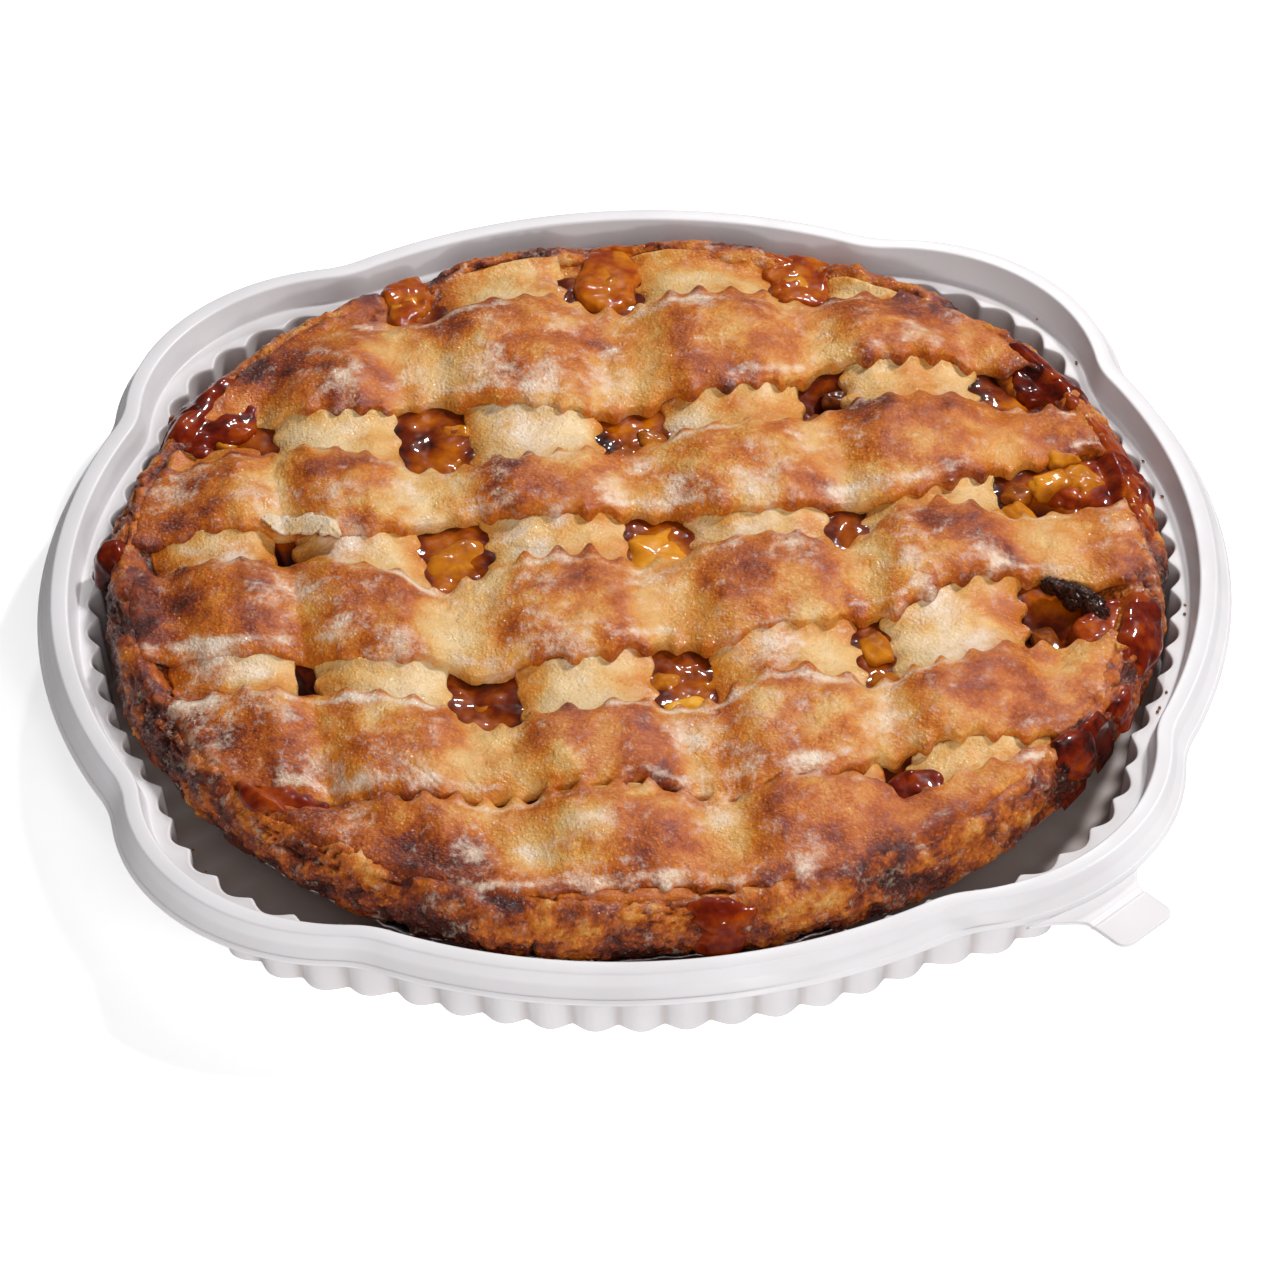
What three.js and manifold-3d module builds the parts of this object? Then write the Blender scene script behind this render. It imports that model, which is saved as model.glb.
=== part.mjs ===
// A nine-inch lattice apple pie, baked in a shallow foil pan and standing in its white moulded tray.
// Millimetres, +Z up. The origin is on the table, under the middle of the tray; +Y is the far side.
// From the table up: tray, foil pan, pastry case, apple filling, five strips of pastry laid from
// front to back, and five laid over them from side to side.
import * as THREE from 'three'
import { mergeVertices } from 'three/addons/utils/BufferGeometryUtils.js'
import Module from 'manifold-3d'

const wasm = await Module()
wasm.setup()

const TAU = 2 * Math.PI
const rad = THREE.MathUtils.degToRad
const mix = THREE.MathUtils.lerp
const smooth = (low, high, x) => THREE.MathUtils.smoothstep(x, low, high)

// ---------------------------------------------------------------- driving dimensions

const GAP = 0.3 // left between pieces that touch

const TRAY = {
  sideRadius: 127, // four long sides, which are arcs about the middle
  lobeRadius: 50, // four corner lobes, which are arcs about points on the diagonals
  lobeCentre: 86.3,
  filletRadius: 24, // the hollow where a lobe meets a side
  stations: 96, // points round the rim
  sheet: 0.8, // thickness of the plastic
  ledgeHeight: 19,
  beadHeight: 25,
  cornerHeight: 22.2, // where the bead's outer wall meets the skirt that slopes down to the edge
  cornerInset: 2.1,
  edgeHeight: 19.2,
  wellInset: 12.1, // from the outer edge in to the middle of the flutes, at a side
  wellInsetAtLobe: 14,
  flutes: 76,
  fluteDepth: 1.25, // each way from their middle line
  draft: 1.6, // how far the fluted wall leans in from ledge to floor
}

// The lifting tab, on the lobe at the right of the front.
const TAB = { direction: -49, width: 15, reach: 14, rootWidth: 27, corner: 2.5, overlap: 0.5 }

const PAN = { gauge: 0.4, baseRadius: 89, wallRadius: 107.6, rimRadius: 111.6, rimTop: 16.5 }

const PIE = {
  around: 60, // points round the pan, case and filling
  crustThickness: 3.4,
  fillingTop: 28, // at the middle
  crown: 3.8, // how much lower it is at crownRadius
  crownRadius: 105,
  fillingRadius: 99.4,
  seatRadius: 106.2, // the strips end in a seat just inside the rim
  rimRadius: 112.5, // the rim hangs over the pan
  rimTop: 29.2,
  rimWander: 0.8, // in and out, each way
  rimWave: 0.8, // how much lower its top gets
  stripEnd: 105.6,
}

const STRIP = {
  underThickness: 3.4,
  overThickness: 3.6,
  layerGap: 0.6,
  pressed: 0.62, // share of the thickness left where strips are sealed to the rim
  pressedRadii: [88, 102], // where the pressing starts and is complete
  sag: 2.8, // of an upper strip between two lower ones
  sagRadii: [94, 103], // where the rim starts to hold a strip up, and holds it level
  sagEdge: [-1, 5], // how far beyond a lower strip's edge the sag starts and is complete
  bevel: 1.2, // how much thinner a strip is at its edge
  scallop: 7, // one tooth of the pastry wheel
  scallopDepth: 1.3, // each way
}

// A lower strip's middle line is x = offset + lean * y. stop is where one ends short of the rim.
const UNDER_STRIPS = [
  { offset: -88, lean: -0.1, width: 26, stop: 42 },
  { offset: -57.5, lean: -0.1, width: 26 },
  { offset: -15.5, lean: -0.092, width: 29 },
  { offset: 27.5, lean: -0.073, width: 30 },
  { offset: 65, lean: -0.04, width: 29 },
]

// An upper strip was laid by hand, so its middle line and width change from crossing to crossing.
const CROSSINGS = [-95, -60, -15, 27, 64, 95]
const OVER_STRIPS = [
  { middle: [70, 67, 64.5, 66.5, 70, 74], width: [36, 36, 37, 32, 24, 18] },
  { middle: [27, 22.5, 17, 20.5, 25, 31], width: [26, 31, 20, 30, 31, 17] },
  { middle: [-13, -16, -22.5, -17, -12, -6], width: [27, 26, 30, 27, 29, 23] },
  { middle: [-54, -59.5, -65, -60.5, -54.5, -50], width: [24, 28, 21.5, 27, 26, 24] },
  { middle: [-86, -88.5, -91.3, -90.3, -83, -78], width: [20, 22, 23.5, 24, 22, 20] },
]

// Where jelly boiled over the rim: direction in degrees, and half sizes round, outwards and up.
const SPILLS = [
  { direction: 148, size: [7, 2.8, 3] },
  { direction: 33, size: [7, 2.8, 3] },
  { direction: 8, size: [9, 2.8, 3] },
  { direction: -15, size: [8, 2.9, 3] },
  { direction: -36, size: [6, 2.8, 3] },
  { direction: -84, size: [6.5, 3.2, 5] },
  { direction: 174.5, size: [5, 4.2, 3.2] },
]

// A piece of apple that shows in a window: its radius, and how far its middle is above the jelly.
const APPLE = { size: 5, stands: 0.25 }

// Where the rim dips between two strip ends at the far side.
const DIPS = { directions: [66, 90, 114], halfAngle: 7, depth: 3.2 }

// ---------------------------------------------------------------- closed shells

// A mesh under construction: points are kept once, and triangles name them by number.
class Shell {
  constructor() {
    this.points = []
    this.triangles = []
  }
  add(x, y, z) {
    this.points.push(x, y, z)
    return this.points.length / 3 - 1
  }
  // A closed band between two rings of the same length, facing outwards when upper is above lower.
  band(lower, upper) {
    for (let i = 0; i < lower.length; i++) {
      const j = (i + 1) % lower.length
      this.triangles.push(lower[i], lower[j], upper[j])
      this.triangles.push(lower[i], upper[j], upper[i])
    }
  }
  // A face inside an outer ring and outside an optional inner one, both anticlockwise from above.
  face(outer, inner, up) {
    const flat = (ring) => ring.map((i) => new THREE.Vector2(this.points[3 * i], this.points[3 * i + 1]))
    const hole = [...inner].reverse()
    const names = [...outer, ...hole]
    const found = THREE.ShapeUtils.triangulateShape(flat(outer), hole.length ? [flat(hole)] : [])
    for (const [a, b, c] of found) {
      this.triangles.push(names[a], names[up ? b : c], names[up ? c : b])
    }
  }
  // A sheet between two columns of points, which each carry their place t along the strip.
  stitch(left, right) {
    let i = 0
    let j = 0
    while (i < left.length - 1 || j < right.length - 1) {
      const nextLeft = i < left.length - 1 ? left[i + 1].t : Infinity
      const nextRight = j < right.length - 1 ? right[j + 1].t : Infinity
      if (nextLeft <= nextRight) {
        this.triangles.push(left[i].id, right[j].id, left[i + 1].id)
        i++
      } else {
        this.triangles.push(left[i].id, right[j].id, right[j + 1].id)
        j++
      }
    }
  }
  // A fan over a closed loop of points round one of them.
  fan(hub, loop) {
    for (let i = 0; i < loop.length; i++) {
      const j = (i + 1) % loop.length
      if (loop[i] !== hub && loop[j] !== hub) this.triangles.push(hub, loop[i], loop[j])
    }
  }
  geometry() {
    const made = new THREE.BufferGeometry()
    made.setAttribute('position', new THREE.Float32BufferAttribute(this.points, 3))
    made.setIndex(this.triangles)
    return made
  }
}

function toManifold(geometry) {
  const bare = geometry.clone()
  bare.deleteAttribute('normal')
  bare.deleteAttribute('uv')
  const merged = mergeVertices(bare, 1e-4)
  const vertProperties = new Float32Array(merged.attributes.position.array)
  const triVerts = new Uint32Array(merged.index.array)
  return new wasm.Manifold(new wasm.Mesh({ numProp: 3, vertProperties, triVerts }))
}

// One solid from a body and the small shapes that are joined to it.
function joined(body, additions) {
  const solid = additions.reduce((all, piece) => all.add(toManifold(piece)), toManifold(body))
  const mesh = solid.getMesh()
  const made = new THREE.BufferGeometry()
  made.setAttribute('position', new THREE.Float32BufferAttribute(mesh.vertProperties, 3))
  made.setIndex([...mesh.triVerts])
  return made
}

// A solid turned about the upright axis, from a profile of [radius, height] pairs.
function turned(profile) {
  const points = profile.map(([r, z]) => new THREE.Vector2(r, z))
  const made = new THREE.LatheGeometry(points, PIE.around)
  made.rotateX(TAU / 4)
  return made
}

// ---------------------------------------------------------------- the tray

// The angle from a direction to the nearest diagonal, where the lobes are.
const offDiagonal = (angle) => Math.abs(((((angle % (TAU / 4)) + TAU / 4) % (TAU / 4)) - TAU / 8))

// How far from the middle a ray crosses a circle whose centre lies at that distance, and that angle
// off the ray. side is +1 for the far crossing and -1 for the near one.
const rayToCircle = (distance, angle, radius, side) =>
  distance * Math.cos(angle) + side * Math.sqrt(radius ** 2 - (distance * Math.sin(angle)) ** 2)

// The tray's outer edge as a radius for each direction: side arc, then hollow, then lobe.
function edgeRadius(angle) {
  const { sideRadius, lobeRadius, lobeCentre, filletRadius } = TRAY
  const hollowCentre = sideRadius + filletRadius
  const hollowToLobe = lobeRadius + filletRadius
  const cosine = (hollowCentre ** 2 + lobeCentre ** 2 - hollowToLobe ** 2) / (2 * hollowCentre * lobeCentre)
  const hollowAngle = Math.acos(cosine)
  const share = filletRadius / hollowToLobe
  const touchX = mix(hollowCentre * cosine, lobeCentre, share)
  const touchY = mix(hollowCentre * Math.sin(hollowAngle), 0, share)
  const off = offDiagonal(angle)
  if (off >= hollowAngle) return sideRadius
  if (off >= Math.atan2(touchY, touchX)) return rayToCircle(hollowCentre, hollowAngle - off, filletRadius, -1)
  return rayToCircle(lobeCentre, off, lobeRadius, 1)
}

const LOBE_REACH = TRAY.lobeCentre + TRAY.lobeRadius - TRAY.sideRadius

// 0 along the sides, rising to 1 at the tip of a lobe.
const lobeShare = (angle) => (edgeRadius(angle) - TRAY.sideRadius) / LOBE_REACH

function makeTray() {
  const { stations, sheet, flutes, fluteDepth, draft } = TRAY
  const { ledgeHeight, beadHeight, cornerHeight, cornerInset, edgeHeight } = TRAY
  const shell = new Shell()
  const ring = (count, turn, radius, z) => {
    return Array.from({ length: count }, (_, i) => {
      const angle = ((i + turn) / count) * TAU
      const r = radius(angle, i)
      return shell.add(r * Math.cos(angle), r * Math.sin(angle), z)
    })
  }
  const rimRing = ([inset, z]) => ring(stations, 0, (angle) => edgeRadius(angle) - inset, z)

  // The rim from the ledge over the bead and down the skirt to the edge, then back under it one
  // sheet further in.
  const rim = [
    [8.6, ledgeHeight],
    [6.8, beadHeight - 0.7],
    [6, beadHeight],
    [3.2, beadHeight],
    [2.5, beadHeight - sheet],
    [cornerInset, cornerHeight],
    [0, edgeHeight],
    [0.6, edgeHeight - 0.5],
    [cornerInset + sheet + 0.1, cornerHeight - 0.1],
    [3.4, beadHeight - sheet],
    [5.8, beadHeight - sheet],
    [7.8, ledgeHeight - sheet],
  ].map(rimRing)
  for (let i = 1; i < rim.length; i++) shell.band(rim[i], rim[i - 1])

  // Two points out and two points in make one flute.
  const wallRing = (offset, z) => {
    const radius = (angle, i) => {
      const middle = edgeRadius(angle) - mix(TRAY.wellInset, TRAY.wellInsetAtLobe, lobeShare(angle))
      return middle + offset + (i % 4 < 2 ? fluteDepth : -fluteDepth)
    }
    return ring(4 * flutes, -0.5, radius, z)
  }
  const innerTop = wallRing(0, ledgeHeight)
  const innerFoot = wallRing(-draft, sheet)
  const outerTop = wallRing(sheet, ledgeHeight - sheet)
  const outerFoot = wallRing(sheet - draft, 0)
  shell.face(rim[0], innerTop, true)
  shell.band(innerTop, innerFoot)
  shell.face(innerFoot, [], true)
  shell.face(rim[rim.length - 1], outerTop, false)
  shell.band(outerFoot, outerTop)
  shell.face(outerFoot, [], false)
  return joined(shell.geometry(), [makeTab()])
}

// The tab lies level with the edge: its root follows the lobe, then a waist, straight sides and
// rounded corners.
function makeTab() {
  const { direction, width, reach, rootWidth, corner, overlap } = TAB
  const { lobeCentre, lobeRadius, edgeHeight, sheet } = TRAY
  const edge = edgeRadius(rad(direction))
  const rootRadius = lobeRadius - overlap
  const rootAngle = Math.asin(rootWidth / 2 / rootRadius)
  const neck = edge + reach / 3
  const tip = edge + reach
  const half = width / 2
  const outline = new THREE.Shape()
  outline.absarc(lobeCentre, 0, rootRadius, rootAngle, -rootAngle, true)
  outline.quadraticCurveTo(edge + 1, -half, neck, -half)
  outline.absarc(tip - corner, -half + corner, corner, -TAU / 4, 0, false)
  outline.absarc(tip - corner, half - corner, corner, 0, TAU / 4, false)
  outline.lineTo(neck, half)
  outline.quadraticCurveTo(edge + 1, half, lobeCentre + rootRadius * Math.cos(rootAngle), rootWidth / 2)
  const made = new THREE.ExtrudeGeometry(outline, { depth: sheet, bevelEnabled: false, curveSegments: 3 })
  made.translate(0, 0, edgeHeight - 0.6 * sheet)
  made.rotateZ(rad(direction))
  return made
}

// ---------------------------------------------------------------- the foil pan

const PAN_FLOOR = TRAY.sheet + GAP

function makePan() {
  const { gauge, baseRadius, wallRadius, rimRadius, rimTop } = PAN
  return turned([
    [0, PAN_FLOOR],
    [baseRadius, PAN_FLOOR],
    [wallRadius + gauge, rimTop - 1.3],
    [rimRadius - 1, rimTop - 1.6],
    [rimRadius, rimTop - 0.8],
    [rimRadius - 0.7, rimTop],
    [wallRadius, rimTop - 0.4],
    [baseRadius - gauge, PAN_FLOOR + gauge],
    [0, PAN_FLOOR + gauge],
  ])
}

// ---------------------------------------------------------------- heights on the pie

// The surface that the lattice lies on: flat in the middle, falling ever faster towards the rim.
const bed = (r) => PIE.fillingTop - PIE.crown * (r / PIE.crownRadius) ** 4

// Strips are thinner where they are sealed to the rim, and the upper ones no longer sag there.
const sealed = (x, y) => mix(1, STRIP.pressed, smooth(...STRIP.pressedRadii, Math.hypot(x, y)))
const free = (x, y) => 1 - smooth(...STRIP.sagRadii, Math.hypot(x, y))

const underMiddle = (strip, y) => strip.offset + strip.lean * y

// 1 over a lower strip, falling to 0 in the gap between two.
function carried(x, y) {
  const shares = UNDER_STRIPS.map((strip) => {
    const away = Math.abs(x - underMiddle(strip, y)) - strip.width / 2
    return 1 - smooth(...STRIP.sagEdge, away)
  })
  return Math.max(...shares)
}

const underBottom = (x, y) => bed(Math.hypot(x, y)) + GAP
const underTop = (x, y) => underBottom(x, y) + STRIP.underThickness * sealed(x, y)
const overSag = (x, y) => STRIP.sag * free(x, y) * (1 - carried(x, y))
const overBottom = (x, y) => underTop(x, y) + STRIP.layerGap - overSag(x, y)
const overTop = (x, y) => overBottom(x, y) + STRIP.overThickness * sealed(x, y)

// ---------------------------------------------------------------- pastry case

const CASE_FLOOR = PAN_FLOOR + PAN.gauge + GAP

// A slow uneven wander round the pie, between -1 and 1.
const wander = (angle, phase) =>
  0.5 * Math.sin(3 * angle + phase) +
  0.3 * Math.sin(7 * angle + 2.3 * phase) +
  0.2 * Math.sin(16 * angle + 4.1 * phase)

// The rim was pressed by hand: it wanders in and out and up and down, and dips between strip ends.
function handShaped(made) {
  const position = made.attributes.position
  for (let i = 0; i < position.count; i++) {
    const [x, y, z] = [position.getX(i), position.getY(i), position.getZ(i)]
    const r = Math.hypot(x, y)
    const spoke = Math.round((Math.atan2(y, x) / TAU) * PIE.around) * (TAU / PIE.around)
    const out = smooth(PIE.rimRadius - 3.5, PIE.rimRadius, r) * smooth(17, 20, z) * PIE.rimWander * wander(spoke, 1)
    const dips = DIPS.directions.map((direction) => {
      const away = Math.abs(THREE.MathUtils.radToDeg(spoke) - direction)
      return DIPS.depth * (1 - smooth(0, DIPS.halfAngle, away))
    })
    const down = smooth(PIE.seatRadius, PIE.seatRadius + 1, r) * smooth(24, 28, z)
    const lower = down * ((PIE.rimWave / 2) * (1 + wander(spoke, 2)) + Math.max(...dips))
    const scale = 1 + out / Math.max(r, 1)
    position.setXYZ(i, x * scale, y * scale, z - lower)
  }
  return made
}

// Jelly that has set on the rim: a flattened low-sided ball.
function makeSpill({ direction, size }) {
  const made = new THREE.SphereGeometry(1, 8, 5)
  made.rotateX(TAU / 4)
  made.scale(size[1], size[0], size[2])
  made.translate(PIE.rimRadius - 3, 0, PIE.rimTop - 4.5)
  made.rotateZ(rad(direction))
  return made
}

function makeCase() {
  const { crustThickness, fillingRadius, seatRadius, rimRadius, rimTop } = PIE
  const wallRadius = PAN.wallRadius - 0.6
  const floorRadius = PAN.baseRadius - 2 * PAN.gauge
  const rimFoot = PAN.rimTop + 0.4
  const made = turned([
    [0, CASE_FLOOR],
    [floorRadius, CASE_FLOOR],
    [wallRadius, PAN.rimTop],
    [PAN.rimRadius - 1.4, rimFoot],
    [PAN.rimRadius, rimFoot + 0.4],
    [rimRadius, rimFoot + 3.6],
    [rimRadius - 0.8, rimTop - 4],
    [rimRadius - 2.9, rimTop - 1],
    [rimRadius - 5.1, rimTop],
    [seatRadius, rimTop - 0.7],
    [seatRadius, bed(seatRadius) - 0.1],
    [fillingRadius, bed(fillingRadius) - 0.1],
    [floorRadius - 1.7, CASE_FLOOR + crustThickness],
    [0, CASE_FLOOR + crustThickness],
  ])
  return joined(handShaped(made), SPILLS.map(makeSpill))
}

// ---------------------------------------------------------------- lattice edges

// The middle and width of every upper strip at any x, smoothly through the values at the crossings.
const overShapes = OVER_STRIPS.map(({ middle, width }) => {
  const values = CROSSINGS.flatMap((_, i) => [middle[i], width[i]])
  return new THREE.CubicInterpolant(new Float32Array(CROSSINGS), new Float32Array(values), 2)
})

function overShape(index, x) {
  const [middle, width] = overShapes[index].evaluate(THREE.MathUtils.clamp(x, CROSSINGS[0], CROSSINGS.at(-1)))
  return { middle, width }
}

const underShape = (strip, y) => ({ middle: underMiddle(strip, y), width: strip.width })

// ---------------------------------------------------------------- apple filling

// A seeded draw, the same each time.
function seeded(seed) {
  let state = seed
  return () => {
    state = (state * 1664525 + 1013904223) % 4294967296
    return state / 4294967296
  }
}

// The middle of a gap between two neighbours, and how wide it is.
function gapOf(low, high) {
  const from = low.middle + low.width / 2
  const to = high.middle - high.width / 2
  return { middle: (from + to) / 2, room: to - from }
}

// Every window of the lattice: where a gap between lower strips crosses one between upper strips.
function findWindows() {
  const rightRim = { offset: 105, lean: 0, width: 10 }
  const windows = []
  const lower = [...UNDER_STRIPS, rightRim]
  for (let column = 0; column < lower.length - 1; column++) {
    for (let row = 0; row < OVER_STRIPS.length - 1; row++) {
      let across = { middle: 0, room: 0 }
      let along = { middle: 0, room: 0 }
      for (let turn = 0; turn < 8; turn++) {
        across = gapOf(underShape(lower[column], along.middle), underShape(lower[column + 1], along.middle))
        along = gapOf(overShape(row + 1, across.middle), overShape(row, across.middle))
      }
      const radius = Math.hypot(across.middle, along.middle)
      const room = Math.min(across.room, along.room) / 2 - STRIP.scallopDepth - GAP
      if (room > 2 && radius + room < PIE.fillingRadius) windows.push([across.middle, along.middle, room])
    }
  }
  return windows
}

// An uneven dice of apple: a low-sided ball, flattened and turned.
function makeDice(draw, size) {
  const made = new THREE.IcosahedronGeometry(size, 0)
  made.scale(0.75 + 0.25 * draw(), 0.75 + 0.25 * draw(), 0.5 + 0.15 * draw())
  made.rotateZ(TAU * draw())
  return made
}

function makeFilling() {
  const floor = CASE_FLOOR + PIE.crustThickness + GAP
  const low = PAN.baseRadius - 2 * PAN.gauge - 2
  const top = (r) => bed(r) - GAP
  const rim = PIE.fillingRadius - 0.6
  const core = turned([[0, floor], [low, floor], [rim, top(rim)], [85, top(85)], [60, top(60)], [0, top(0)]])
  const draw = seeded(7)
  const dice = findWindows().map(([x, y, room]) => {
    const size = Math.min(room, APPLE.size)
    const made = makeDice(draw, size)
    made.translate(x, y, top(Math.hypot(x, y)) + APPLE.stands * size)
    return made
  })
  return joined(core, dice)
}

// ---------------------------------------------------------------- the lattice

// How far along a strip a line on it meets the circle that ends the strips, in one direction.
function reachOf(shapeAt, side, sign) {
  let low = 0
  let high = PIE.stripEnd
  for (let turn = 0; turn < 40; turn++) {
    const along = (low + high) / 2
    const { middle, width } = shapeAt(sign * along)
    if (Math.hypot(along, middle + (side * width) / 2) < PIE.stripEnd) low = along
    else high = along
  }
  return sign * low
}

// One strip as a closed solid: four columns of points over its top and three under it.
// side runs from -1 at one edge to 1 at the other, place turns (along, across) into (x, y), and
// shown tells where the scalloped edge is seen.
function makeStrip({ shapeAt, stop = Infinity, place, top, bottom, shown }) {
  const shell = new Shell()
  const column = (side, height) => {
    const edge = Math.abs(side) === 1
    const from = reachOf(shapeAt, side, -1)
    const to = Math.min(reachOf(shapeAt, side, 1), stop)
    const teeth = Math.max(4, Math.round((to - from) / STRIP.scallop))
    const steps = edge ? 2 * teeth : teeth
    const points = []
    for (let i = 0; i <= steps; i++) {
      const along = mix(from, to, i / steps)
      const { middle, width } = shapeAt(along)
      const line = middle + (side * width) / 2
      const tip = i === 0 || i === steps
      const seen = shown(...place(along, line))
      if (!seen && !tip && i % (edge ? 6 : 3) !== 0) continue
      const tooth = edge && seen && !tip ? side * STRIP.scallopDepth * (i % 2 === 1 ? 1 : -1) : 0
      const inside = Math.hypot(along, line + tooth) < PIE.stripEnd
      const [x, y] = place(along, line + (inside ? tooth : 0))
      points.push({ t: along, id: shell.add(x, y, height(x, y)) })
    }
    return points
  }
  const edgeTop = (x, y) => top(x, y) - STRIP.bevel * sealed(x, y)
  const columns = [
    column(-1, edgeTop),
    column(-0.6, top),
    column(0.6, top),
    column(1, edgeTop),
    column(1, bottom),
    column(0, bottom),
    column(-1, bottom),
  ]
  columns.forEach((one, i) => shell.stitch(one, columns[(i + 1) % columns.length]))
  const underside = 5
  const first = columns.map((one) => one[0].id)
  const last = columns.map((one) => one.at(-1).id)
  shell.fan(first[underside], first.toReversed())
  shell.fan(last[underside], last)
  return shell.geometry()
}

// A lower strip shows only between the upper ones.
const betweenOverStrips = (x, y) =>
  OVER_STRIPS.every((_, i) => {
    const { middle, width } = overShape(i, x)
    return Math.abs(y - middle) > width / 2 - 3
  })

const makeUnderStrip = (strip) =>
  makeStrip({
    shapeAt: (y) => underShape(strip, y),
    stop: strip.stop,
    place: (along, across) => [across, along],
    top: underTop,
    bottom: underBottom,
    shown: betweenOverStrips,
  })

// Seen from above, along runs from right to left here, so that both kinds of strip turn the same way.
const makeOverStrip = (strip, i) =>
  makeStrip({
    shapeAt: (along) => overShape(i, -along),
    place: (along, across) => [-along, across],
    top: overTop,
    bottom: overBottom,
    shown: () => true,
  })

// ---------------------------------------------------------------- assembly

const finish = (color, roughness, metalness = 0) => new THREE.MeshStandardMaterial({ color, roughness, metalness })

const plastic = finish(0xe2dedd, 0.35)
const foil = finish(0xb9b7b2, 0.3, 1)
const crust = finish(0x9c5424, 0.7)
const lowerPastry = finish(0xdfae66, 0.6)
const upperPastry = finish(0xc9853f, 0.6)
const apple = finish(0xa8540f, 0.25)

const pie = new THREE.Group()
const put = (name, geometry, material) => {
  const mesh = new THREE.Mesh(geometry, material)
  mesh.name = name
  pie.add(mesh)
}

put('tray', makeTray(), plastic)
put('foil_pan', makePan(), foil)
put('pastry_case', makeCase(), crust)
put('apple_filling', makeFilling(), apple)
UNDER_STRIPS.forEach((strip, i) => put(`under_strip_${i + 1}`, makeUnderStrip(strip), lowerPastry))
OVER_STRIPS.forEach((strip, i) => put(`over_strip_${i + 1}`, makeOverStrip(strip, i), upperPastry))

export default pie
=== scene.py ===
# %% [markdown]
# # A lattice apple pie in its tray
# The pie is a nine-inch one, baked in a shallow foil pan and set in a white moulded tray. The
# solids of the part give every size. This lesson dresses them: each strip of pastry, the rim, the
# filling and the tray is a surface worked out by a formula, on a grid of two parameters.
# The alternative is to sculpt each piece by hand. Formulas were chosen because they give the same
# crust each time, and a change to one size carries through.

import bpy
import numpy as np
from mathutils import Matrix, Vector


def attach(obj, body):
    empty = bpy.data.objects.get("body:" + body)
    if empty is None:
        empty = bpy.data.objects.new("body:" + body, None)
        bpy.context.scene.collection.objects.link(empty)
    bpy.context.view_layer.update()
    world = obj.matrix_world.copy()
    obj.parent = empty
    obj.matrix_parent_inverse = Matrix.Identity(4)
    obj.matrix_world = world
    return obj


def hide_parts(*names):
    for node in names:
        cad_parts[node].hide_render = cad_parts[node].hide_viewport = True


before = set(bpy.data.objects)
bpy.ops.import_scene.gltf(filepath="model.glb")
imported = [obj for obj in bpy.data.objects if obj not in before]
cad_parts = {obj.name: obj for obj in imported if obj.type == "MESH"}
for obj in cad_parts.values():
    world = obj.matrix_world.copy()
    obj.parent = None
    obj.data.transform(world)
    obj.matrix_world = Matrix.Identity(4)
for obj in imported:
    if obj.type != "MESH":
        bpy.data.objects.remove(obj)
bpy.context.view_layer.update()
scene = bpy.context.scene
print("solids:", ", ".join(sorted(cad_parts)))

# %% [markdown]
# ## Units and small formulas
# A baker thinks in millimetres and Blender in metres, so all shapes are computed in millimetres
# and scaled once, when a mesh is made.

# %% Units and small formulas
MM = 0.001
TAU = 2 * np.pi


def smooth(low, high, x):
    """0 below low and 1 above high, with the cubic 3t^2 - 2t^3 between."""
    t = np.clip((x - low) / (high - low), 0, 1)
    return t * t * (3 - 2 * t)


def mix(a, b, t):
    """a where t is 0, b where t is 1, and in proportion between."""
    return a + (b - a) * t


def hills(x, y, places):
    """The highest of some round hills. Each is (x, y, radius) and falls from 1 as exp(-2 d^2), d in radii."""
    away = [((x - a) ** 2 + (y - b) ** 2) / radius**2 for a, b, radius in places]
    return np.exp(-2 * np.min(away, axis=0))


# %% [markdown]
# ## Uneven surfaces
# Nothing baked is smooth. Blender has noise textures, but a shape needs the same noise in numpy,
# where it can move points. Two kinds are enough. Value noise gives soft lumps, and cell noise
# gives a network of cracks or a heap of crumbs. The last number of each call is its seed: any
# whole number will do, and another one gives another pattern.

# %% Soft lumps
def scatter(column, row, seed):
    """A number from 0 to 1 for each place of a lattice, by mixing the bits of its two indices."""
    h = column.astype(np.int64) * 374761393 + row.astype(np.int64) * 668265263 + seed * 974634777
    h = h & 0xFFFFFFFF
    h = ((h ^ (h >> 13)) * 1274126177) & 0xFFFFFFFF
    h = ((h ^ (h >> 15)) * 1103515245) & 0xFFFFFFFF
    return ((h ^ (h >> 16)) & 0xFFFFFF) / 0x1000000


def lumps(x, y, cell, seed):
    """Heights from -1 to 1 on a lattice with that cell, joined by the quintic 6t^5 - 15t^4 + 10t^3."""
    column, row = np.floor(x / cell), np.floor(y / cell)
    u, v = x / cell - column, y / cell - row
    u, v = u**3 * (u * (6 * u - 15) + 10), v**3 * (v * (6 * v - 15) + 10)
    near = mix(scatter(column, row, seed), scatter(column + 1, row, seed), u)
    far = mix(scatter(column, row + 1, seed), scatter(column + 1, row + 1, seed), u)
    return 2 * mix(near, far, v) - 1


def rough(x, y, cell, layers, seed):
    """Layers of lumps: each is turned, and has half the cell and half the height of the last one."""
    total, height = 0.0, 1.0
    for layer in range(layers):
        total = total + height * lumps(x, y, cell, seed + layer)
        x, y = 0.8 * x - 0.6 * y, 0.6 * x + 0.8 * y
        cell, height = cell / 2, height / 2
    return total


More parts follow.
